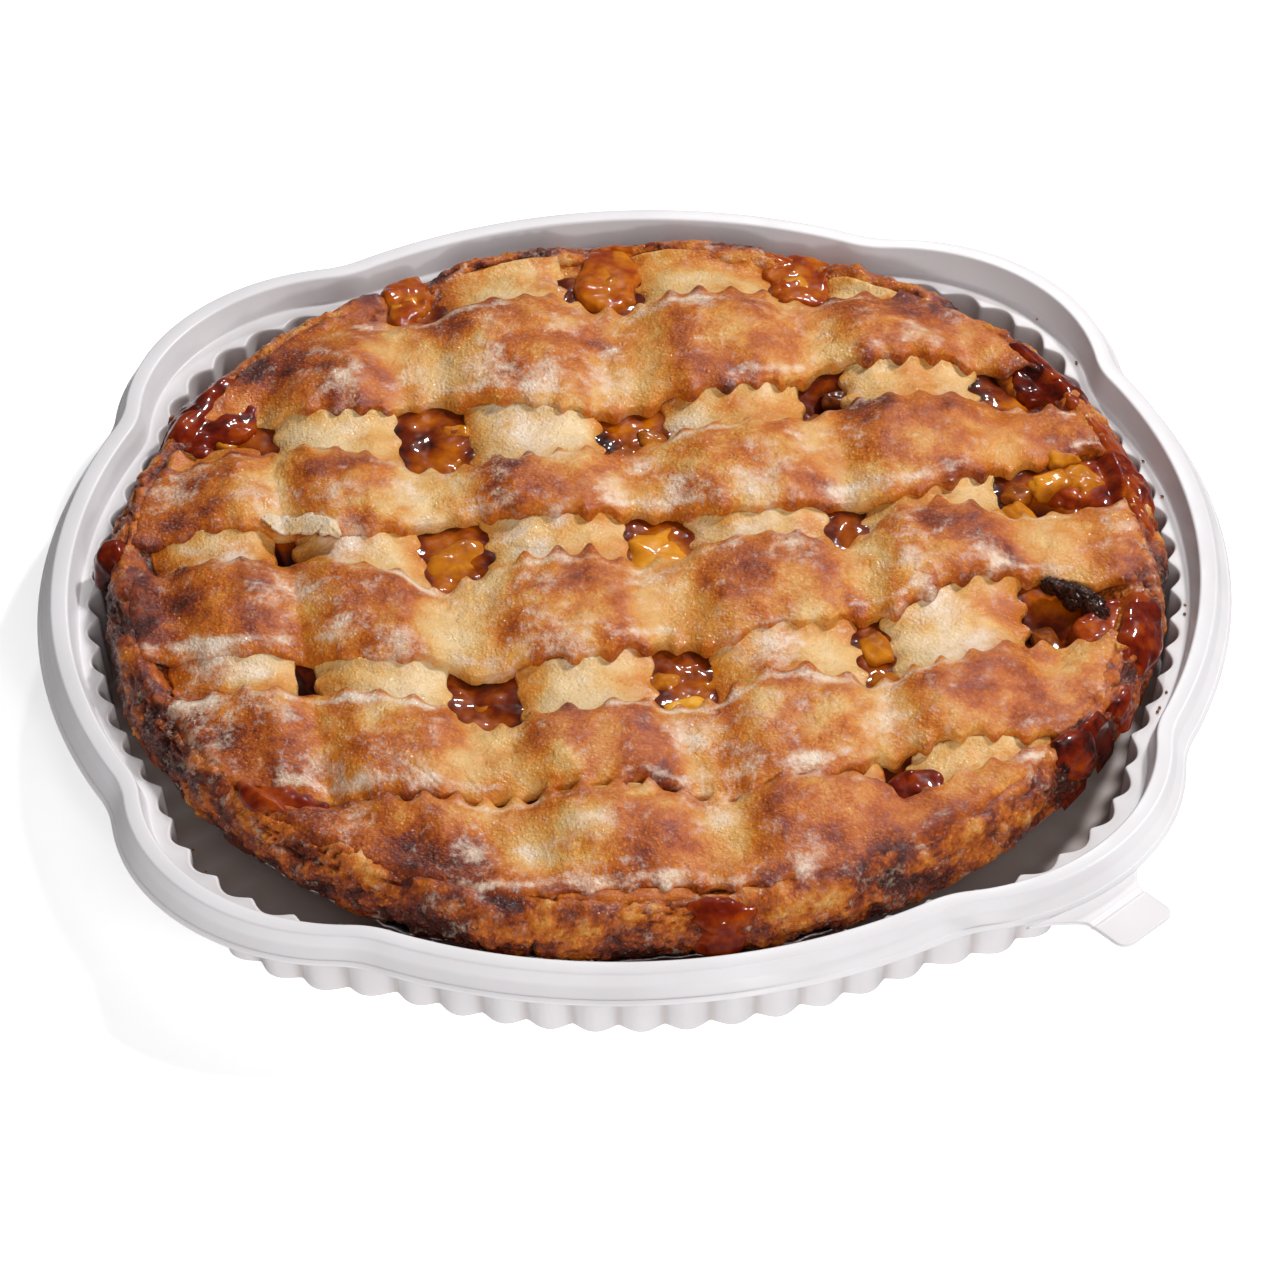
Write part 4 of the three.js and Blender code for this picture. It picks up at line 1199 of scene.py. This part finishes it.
def jelly_wave(x, y, seed):
    """Smooth ripples and a few round beads on set jelly, in millimetres."""
    size, bead = grains(x + 0.8 * lumps(x, y, 4, seed), y, 4.2, seed + 2, 0.1, 0.75)
    waves = 0.34 * rough(x, y, 5.5, 2, seed + 3) + 0.26 * rough(x, y, 2.4, 1, seed + 6)
    return waves + 0.2 * np.maximum(size - 0.4, 0) * bead


def swelling(x, y, reach, bulge, deepest, seed):
    """How far jelly stands out: its bulge and waves, and below 0 a plunge four times as steep, to deepest."""
    height = bulge + jelly_wave(x, y, seed) * (1 - smooth(0.8, 1.1, reach))
    return np.where(height < 0, np.maximum(4 * height, deepest), height)


# %% Pools
POOL_LIMIT, POOL_THICK = 111.6, 2.6  # no pool reaches past this radius, and how thick its edge is
POOLS = [  # place, half widths, turn in degrees, lift above the dome, rise above the rim, thickness, tone
    ((-88.5, 56), (14, 10), 58, 2.4, 0.3, 1.4, 0.24), ((-100, 56), (9, 4.5), 62, 2.4, 0.4, 1.2, 0.16),
    ((-46, 94), (4.8, 12), 0, 2.0, 0, 0.7, 0.46), ((-1, 96), (6.2, 13), 0, 2.0, 0, 0.7, 0.52),
    ((41.5, 95), (7, 12), 0, 2.0, 0, 0.7, 0.46), ((91, 54), (11, 6), -58, 2.4, 0.5, 0.9, 0.15),
    ((101, 17), (9.5, 8), 30, 2.0, 0.3, 0.7, 0.32), ((106, 24), (20, 4.8), -77, 2.2, 0.3, 0.5, 0.34),
    ((103, -30), (9.5, 8), -15, 2.0, 0.4, 1.0, 0.36), ((92, -65), (8, 4.2), 55, 2.4, 0.5, 1.1, 0.14),
    ((-75, -71), (9.5, 4.6), -22, 3.2, 1.4, 1.3, 0.24), ((54, -76.5), (5, 3.6), 10, 3.0, 0.2, 0.8, 0.14),
]


def pool(place, half, turn, lift, rise, thick, seed):
    """Top and underside of a pool: what carries it, plus thick (1 - reach^4), with reach 1 at its outline."""
    u, v = np.meshgrid(np.linspace(-1.35, 1.35, 52), np.linspace(-1.35, 1.35, 52), indexing="ij")
    x, y = set_down(u * half[0], v * half[1], place, turn)
    reach = np.hypot(u, v) + 0.30 * rough(x, y, 7, 3, seed)
    level = np.maximum(dome_at(x, y) + lift, rim_height(x, y) + rise)
    height = level + swelling(x, y, reach, thick * (1 - reach**4), -6.5, seed)
    squeeze = np.minimum(1, POOL_LIMIT / np.hypot(x, y))
    top = np.stack([x * squeeze, y * squeeze, height], -1)
    return top, top - np.array([0, 0, POOL_THICK])


# %% Runs down the side
RUN_LENGTH, RUN_THICK = 20.0, 3.3  # stretches the waves along the profile, and how deep a run goes in
RUNS = [  # direction in degrees, half width, from and to along the profile, thickness, tone
    (8.0, 8.0, 0.30, 0.66, 1.0, 0.26), (-17, 9.0, 0.25, 0.74, 1.5, 0.24), (-37, 5.5, 0.30, 0.72, 1.4, 0.14),
    (-83.8, 6.2, 0.36, 0.90, 1.8, 0.3), (174.2, 4.2, 0.35, 0.80, 3.4, 0.14),
    (27, 7.0, 0.25, 0.6, 1.0, 0.24), (149, 8.0, 0.25, 0.58, 1.2, 0.2), (-27, 4.5, 0.45, 0.80, 1.3, 0.18),
    (90, 4.5, 0.3, 0.6, 0.8, 0.5),
]


def jelly_run(at, half, low, high, thick, seed):
    """Top and underside of a run: a patch of the rim's surface, and thick (1 - reach^3) along its normals."""
    across, down = np.meshgrid(np.linspace(-1.3, 1.3, 36), np.linspace(-1.3, 1.3, 46))
    angle = np.radians(at) + across * half / RIM_RADIUS
    along = np.clip((low + high) / 2 + down * (high - low) / 2, 0, 0.93)
    base = rim_surface(angle, along)
    normal = rim_normals(base)
    x, y = across * half, down * (high - low) * RUN_LENGTH
    narrow = 1 + 0.25 * down + 0.15 * lumps(0 * x + seed, y, 5, seed + 1)
    reach = np.sqrt((across * narrow) ** 2 + np.abs(down) ** 3) + 0.28 * rough(x + 50 * seed, y, 6, 3, seed)
    height = swelling(x, y, reach, 0.2 + thick * (1 - reach**3), -3.0, seed)
    return base + normal * height[..., None], base - normal * RUN_THICK


# %% Make the pools and runs
RED_COLOURS = [
    (0.0, 0.020, 0.002, 0.001), (0.2, 0.16, 0.010, 0.001), (0.4, 0.32, 0.045, 0.001),
    (0.6, 0.50, 0.130, 0.003), (0.8, 0.68, 0.250, 0.010), (1.0, 0.80, 0.420, 0.050),
]
red_jelly = jelly_finish("red_jelly", RED_COLOURS, 0.7)


def make_jelly():
    """All the pools and runs in one piece. Each has its own tone, with darker and lighter fruit in it."""
    lenses = [pool(*shape, 1200 + 11 * k) for k, (*shape, _) in enumerate(POOLS)]
    lenses += [jelly_run(*shape, 1500 + 11 * k) for k, (*shape, _) in enumerate(RUNS)]
    parts = [slab_parts(*lens) for lens in lenses]
    tones = []
    for number, (*_, tone) in enumerate(POOLS + RUNS):
        x, y, z = parts[number][0].T
        tones.append(tone + chunks(x, y + z, 6.5, 1300 + number, 0.28, 0.45, 0.8))
    return make_piece("jelly_pools", joined(parts), red_jelly, "filling", tone=np.concatenate(tones))


make_jelly()

# %% [markdown]
# ## A burnt scrap
# On the right a scrap of apple skin burnt to a black, glassy crumb. It is the one near-black spot
# of the pie, so it is a piece of its own: a few soft cubes, roughened by grains.

# %% Make the burnt scrap
SCRAP = [  # x, y and half sizes of each soft cube
    (88, -18.2, 2.6, 1.6), (91, -19, 2.4, 2.2), (93.5, -20.5, 2.6, 2.2), (96, -22.8, 2.0, 2.4),
    (97, -25.6, 1.6, 1.8), (91, -21.8, 1.8, 1.0),
]
BURNT_COLOURS = [(0.4, 0.007, 0.003, 0.002), (0.7, 0.07, 0.016, 0.007)]


def burnt_finish():
    """Sugar burnt black, with dark brown spots, under a thin broken glaze."""
    material, tree, shader, where = new_finish(
        "burnt_sugar", Roughness=0.45, IOR=1.4, Specular_IOR_Level=0.1, Coat_Weight=0.3, Coat_Roughness=0.06
    )
    spots = speckle(tree, where, 0.9, 3, 0.6)
    feed(tree, shader, Base_Color=ramp(tree, spots, BURNT_COLOURS), Normal=bump(tree, spots, 0.15))
    return material


def make_scrap():
    """A short row of overlapping soft cubes, covered in grains."""
    cubes = []
    for number, (x, y, long, wide) in enumerate(SCRAP):
        place = np.array([x, y, dome_at(x, y) + 3.0 - 0.3 * number])
        cube = soft_cube(place, (long, wide, 1.5), -30, 0.8, 0.18, 1700 + number, (33, 60))
        x, y, z = np.moveaxis(cube, -1, 0)
        size, grain = grains(x * 1.3 + z, y * 1.3 - z, 1.1, 1510, 0.1, 0.6)
        cubes.append(tube_parts(place + (cube - place) * (1 + 0.26 * size * grain)[..., None]))
    return make_piece("burnt_scrap", joined(cubes), burnt_finish(), "filling")


make_scrap()

# %% [markdown]
# ## A torn flap
# On the left the top layer of one strip tore and curled up beside a small hole. It is a thin
# flake of its own: a slab with a ragged outline, which lies on the strip and overhangs on one side.

# %% Make the torn flap
FLAP_AT, FLAP_TURN, FLAP_LONG, FLAP_WIDE = (-70.0, 11.0), -41.0, 10.0, 2.7  # middle, degrees and half sizes
FLAP_THICK = 0.6


def make_flap():
    """A flake with a ragged outline, whose near edge hangs over the hole."""
    u, v = np.meshgrid(np.linspace(-1, 1, 90), np.linspace(-1, 1, 24), indexing="ij")
    wide = FLAP_WIDE * (1 - 0.75 * np.abs(u) ** 3) * (1 + 0.4 * rough(9 * u, 3 * np.sign(v), 2.3, 3, 1801))
    along = FLAP_LONG * u + 0.6 * lumps(9 * u, 3 * v, 1.9, 1803)
    x, y = set_down(along, wide * v + 1.2 * np.sin(2.2 * u), FLAP_AT, FLAP_TURN)
    lift = 0.1 + 0.25 * lumps(x, y, 3, 1805) - 0.5 * smooth(-0.2, -1.0, v)
    height = over_top(x, y) + lift - 0.9 * smooth(0.5, 1.0, v) - 0.9 * smooth(0.7, 1.0, np.abs(u))
    top = np.stack([x, y, height], -1)
    bake_and_shade = 0.06 + 0.35 * smooth(-0.5, -1.0, v) * smooth(0, 0.6, lumps(x, y, 4, 1807))
    fields = {"bake_and_shade": bake_and_shade, "frost": 0.95 + 0 * bake_and_shade, "wet": 0 * bake_and_shade}
    fields = {field: np.tile(values.ravel(), 2) for field, values in fields.items()}
    parts = slab_parts(top, top - np.array([0, 0, FLAP_THICK]))
    return make_piece("torn_flap", parts, upper_pastry, "upper_pastry", **fields)


make_flap()

# %% [markdown]
# ## The foil pan
# Only a bright line of the pan shows, under the front of the crust. Foil is stiff only because it
# is pleated, so the wall has about a hundred shallow pleats, and its rim is rolled and a little
# crushed. The profile is carried round as the tray's was, with the pleats added to the radius.

# %% Make the foil pan
PAN_BASE, PAN_WALL, PAN_RIM, PAN_TOP, PAN_FLOOR = 89.0, 107.6, 110.2, 16.5, 1.1
PAN_SHOWS = [(-99, 7), (-80, 5), (-118, 4)]  # degrees where the rim bulges out, and half widths
PAN_COLUMNS, PAN_PLEATS, PAN_RIM_ROUND, PAN_WALL_ENDS = 1200, 104, 110.0, 14.0
PAN_PROFILE = [  # radius, height, share of the pleats, share of the bulge
    (2, PAN_FLOOR, 0, 0), (PAN_BASE, PAN_FLOOR, 0.2, 0), (PAN_BASE + 0.6, PAN_FLOOR + 0.4, 0.5, 0),
    (98.5, 8.2, 1, 0), (PAN_WALL + 0.2, 15.0, 1, 0), (109.0, 15.1, 0.8, 0.5), (PAN_RIM - 0.5, 15.0, 1, 1),
    (PAN_RIM, 15.7, 1, 1), (PAN_RIM - 0.5, PAN_TOP - 0.15, 1, 1), (109.0, 15.9, 0.8, 0.5),
    (PAN_WALL - 0.1, 15.7, 1, 0), (98.2, 8.5, 1, 0), (PAN_BASE + 0.1, PAN_FLOOR + 0.7, 0.5, 0),
    (PAN_BASE - 0.8, PAN_FLOOR + 0.4, 0.2, 0), (2, PAN_FLOOR + 0.4, 0, 0),
]


def foil_finish():
    """Bright metal with fine creases."""
    material, tree, shader, where = new_finish(
        "pan_foil", Metallic=1.0, Roughness=0.28, Base_Color=(0.80, 0.79, 0.77, 1)
    )
    feed(tree, shader, Normal=bump(tree, speckle(tree, where, 1.6, 3, 0.6), 0.25))
    return material


def make_pan():
    """A closed thin shell: up the outside, round the rolled rim and back down the inside."""
    angle = np.arange(PAN_COLUMNS) / PAN_COLUMNS * TAU - TAU / 2
    along = angle * PAN_RIM_ROUND
    pleat = 0.22 * np.sin(PAN_PLEATS * angle + 1.5 * np.sin(9 * angle))
    pleat = pleat + 0.12 * rough(along, 0 * along, 5, 2, 1601)
    bulge = 1.5 * sum(np.exp(-(((np.degrees(angle) - at) / half) ** 2)) for at, half in PAN_SHOWS)
    crushed = 0.25 * rough(along, 0 * along + 40, 6, 3, 1605)
    rows = []
    for r, z, share, out in PAN_PROFILE:
        rows.append((r + share * pleat + out * bulge, z + share * crushed * (z > PAN_WALL_ENDS)))
    return make_tube("pleated_pan", turned(rows, angle), foil_finish(), "foil", ["foil_pan"])


make_pan()

# %% [markdown]
# ## Crumbs
# A few crumbs fell on the tray's ledge and floor. Each is a soft cube with very few faces. They
# are set down by a seeded draw, so they lie the same way each time.

# %% Make the crumbs
CRUMBS = 34
CRUMB_COLOURS = [(0.3, 0.16, 0.05, 0.015), (0.7, 0.45, 0.2, 0.06)]


def crumb_finish():
    """Dry toasted crumb, light and dark brown."""
    material, tree, shader, where = new_finish("toasted_crumb", Roughness=0.7)
    colour = ramp(tree, speckle(tree, where, 2.0, 2), CRUMB_COLOURS)
    feed(tree, shader, Base_Color=colour, Normal=bump(tree, speckle(tree, where, 0.4, 2), 0.1))
    return material


def make_crumbs():
    """Crumbs between the pie and the bead: most lie low in the corners, and some on the ledge."""
    draw = np.random.default_rng(5)
    cubes = []
    for number in range(CRUMBS):
        on_ledge = number % 3 == 0
        degrees = draw.uniform(-75, 60) if on_ledge else 45 + 90 * draw.integers(0, 4) + draw.normal(0, 9)
        angle = np.radians(degrees)
        edge = float(tray_edge(angle))
        r = edge - 9.9 if on_ledge else edge - draw.uniform(17.5, 20.5)
        size = draw.uniform(0.16, 0.4, 3)
        height = (LEDGE if on_ledge else SHEET) + 0.8 * size[2]
        place, turn = at_angle(r, angle, height), draw.uniform(0, 90)
        cubes.append(tube_parts(soft_cube(place, size, turn, 0.8, 0.3, 1700 + number, (7, 9))))
    return make_piece("fallen_crumbs", joined(cubes), crumb_finish(), "rim_pastry")


make_crumbs()

# %% [markdown]
# ## Floor, light and camera
# The pie stands on a plain white table. The key light is small and stands behind and to the
# right, so its shadows are short and firm. A wide fill in front lifts them. Neither the fill nor
# the table shows in mirror reflections, which would lay a white veil over the jelly, so its
# colour stays deep. Two small lamps, one behind and one in front, put short glints on it instead.

# %% Floor
TABLE_HALF, TABLE_DROP = 4000.0, 0.1  # half its side, and how far it lies under the tray


def make_floor():
    """A flat square just under the tray, far larger than what the camera sees."""
    line = np.linspace(-TABLE_HALF, TABLE_HALF, 3)
    x, y = np.meshgrid(line, line, indexing="ij")
    points = np.stack([x, y, np.full_like(x, -TABLE_DROP)], -1).reshape(-1, 3) * MM
    mesh = bpy.data.meshes.new("table_top")
    mesh.from_pydata(points.tolist(), [], grid_faces(3, 3).tolist())
    floor = bpy.data.objects.new("table_top", mesh)
    scene.collection.objects.link(floor)
    white = {"Base_Color": (0.93, 0.93, 0.93, 1), "Emission_Color": (1, 1, 1, 1), "Emission_Strength": 0.5}
    mesh.materials.append(new_finish("white_table", Roughness=0.7, **white)[0])
    floor.visible_glossy = False


make_floor()

# %% Light
def add_light(name, place, size, power, mirrored=True):
    """A square area light that faces the pie, in metres and watts. mirrored: it shows in reflections."""
    lamp = bpy.data.lights.new(name, "AREA")
    lamp.size, lamp.energy = size, power
    lit = bpy.data.objects.new(name, lamp)
    lit.visible_glossy = mirrored
    lit.location = place
    lit.rotation_mode = "QUATERNION"
    lit.rotation_quaternion = (Vector((0, 0, 0.02)) - Vector(place)).to_track_quat("-Z", "Y")
    scene.collection.objects.link(lit)


add_light("key", (0.75, 0.62, 1.15), 0.16, 17.2)
add_light("fill", (0.2, -1.2, 0.95), 0.9, 10.2, mirrored=False)
add_light("glint", (0.15, 1.25, 1.0), 0.09, 4.0)
add_light("spark", (0.3, -1.35, 0.55), 0.12, 4.0)
world = bpy.data.worlds.new("studio")
world.use_nodes = True
backdrop = world.node_tree.nodes["Background"].inputs
backdrop["Color"].default_value = (1, 1, 1, 1)
backdrop["Strength"].default_value = 0.1
scene.world = world
scene.view_settings.view_transform = "Standard"

# %% Camera
LOOK_AT = Vector((0.00047, -0.01662, 0.019))
DISTANCE, ELEVATION, TURN, TILT = 1.4522, 0.7220, 0.0288, 0.0346


def add_camera():
    """A long lens above the front, turned by TURN about the upright axis and tilted by TILT about its own."""
    lens = bpy.data.cameras.new("camera")
    lens.lens, lens.sensor_width = 193.4, 36.0
    lens.clip_start, lens.clip_end = 0.1, 20.0
    camera = bpy.data.objects.new("camera", lens)
    level = np.cos(ELEVATION)
    back = Vector((-np.sin(TURN) * level, -np.cos(TURN) * level, np.sin(ELEVATION)))
    facing = (-back).to_track_quat("-Z", "Y").to_matrix().to_4x4()
    tilted = facing @ Matrix.Rotation(-TILT, 4, "Z")
    camera.matrix_world = Matrix.Translation(LOOK_AT + DISTANCE * back) @ tilted
    scene.collection.objects.link(camera)
    scene.camera = camera


add_camera()
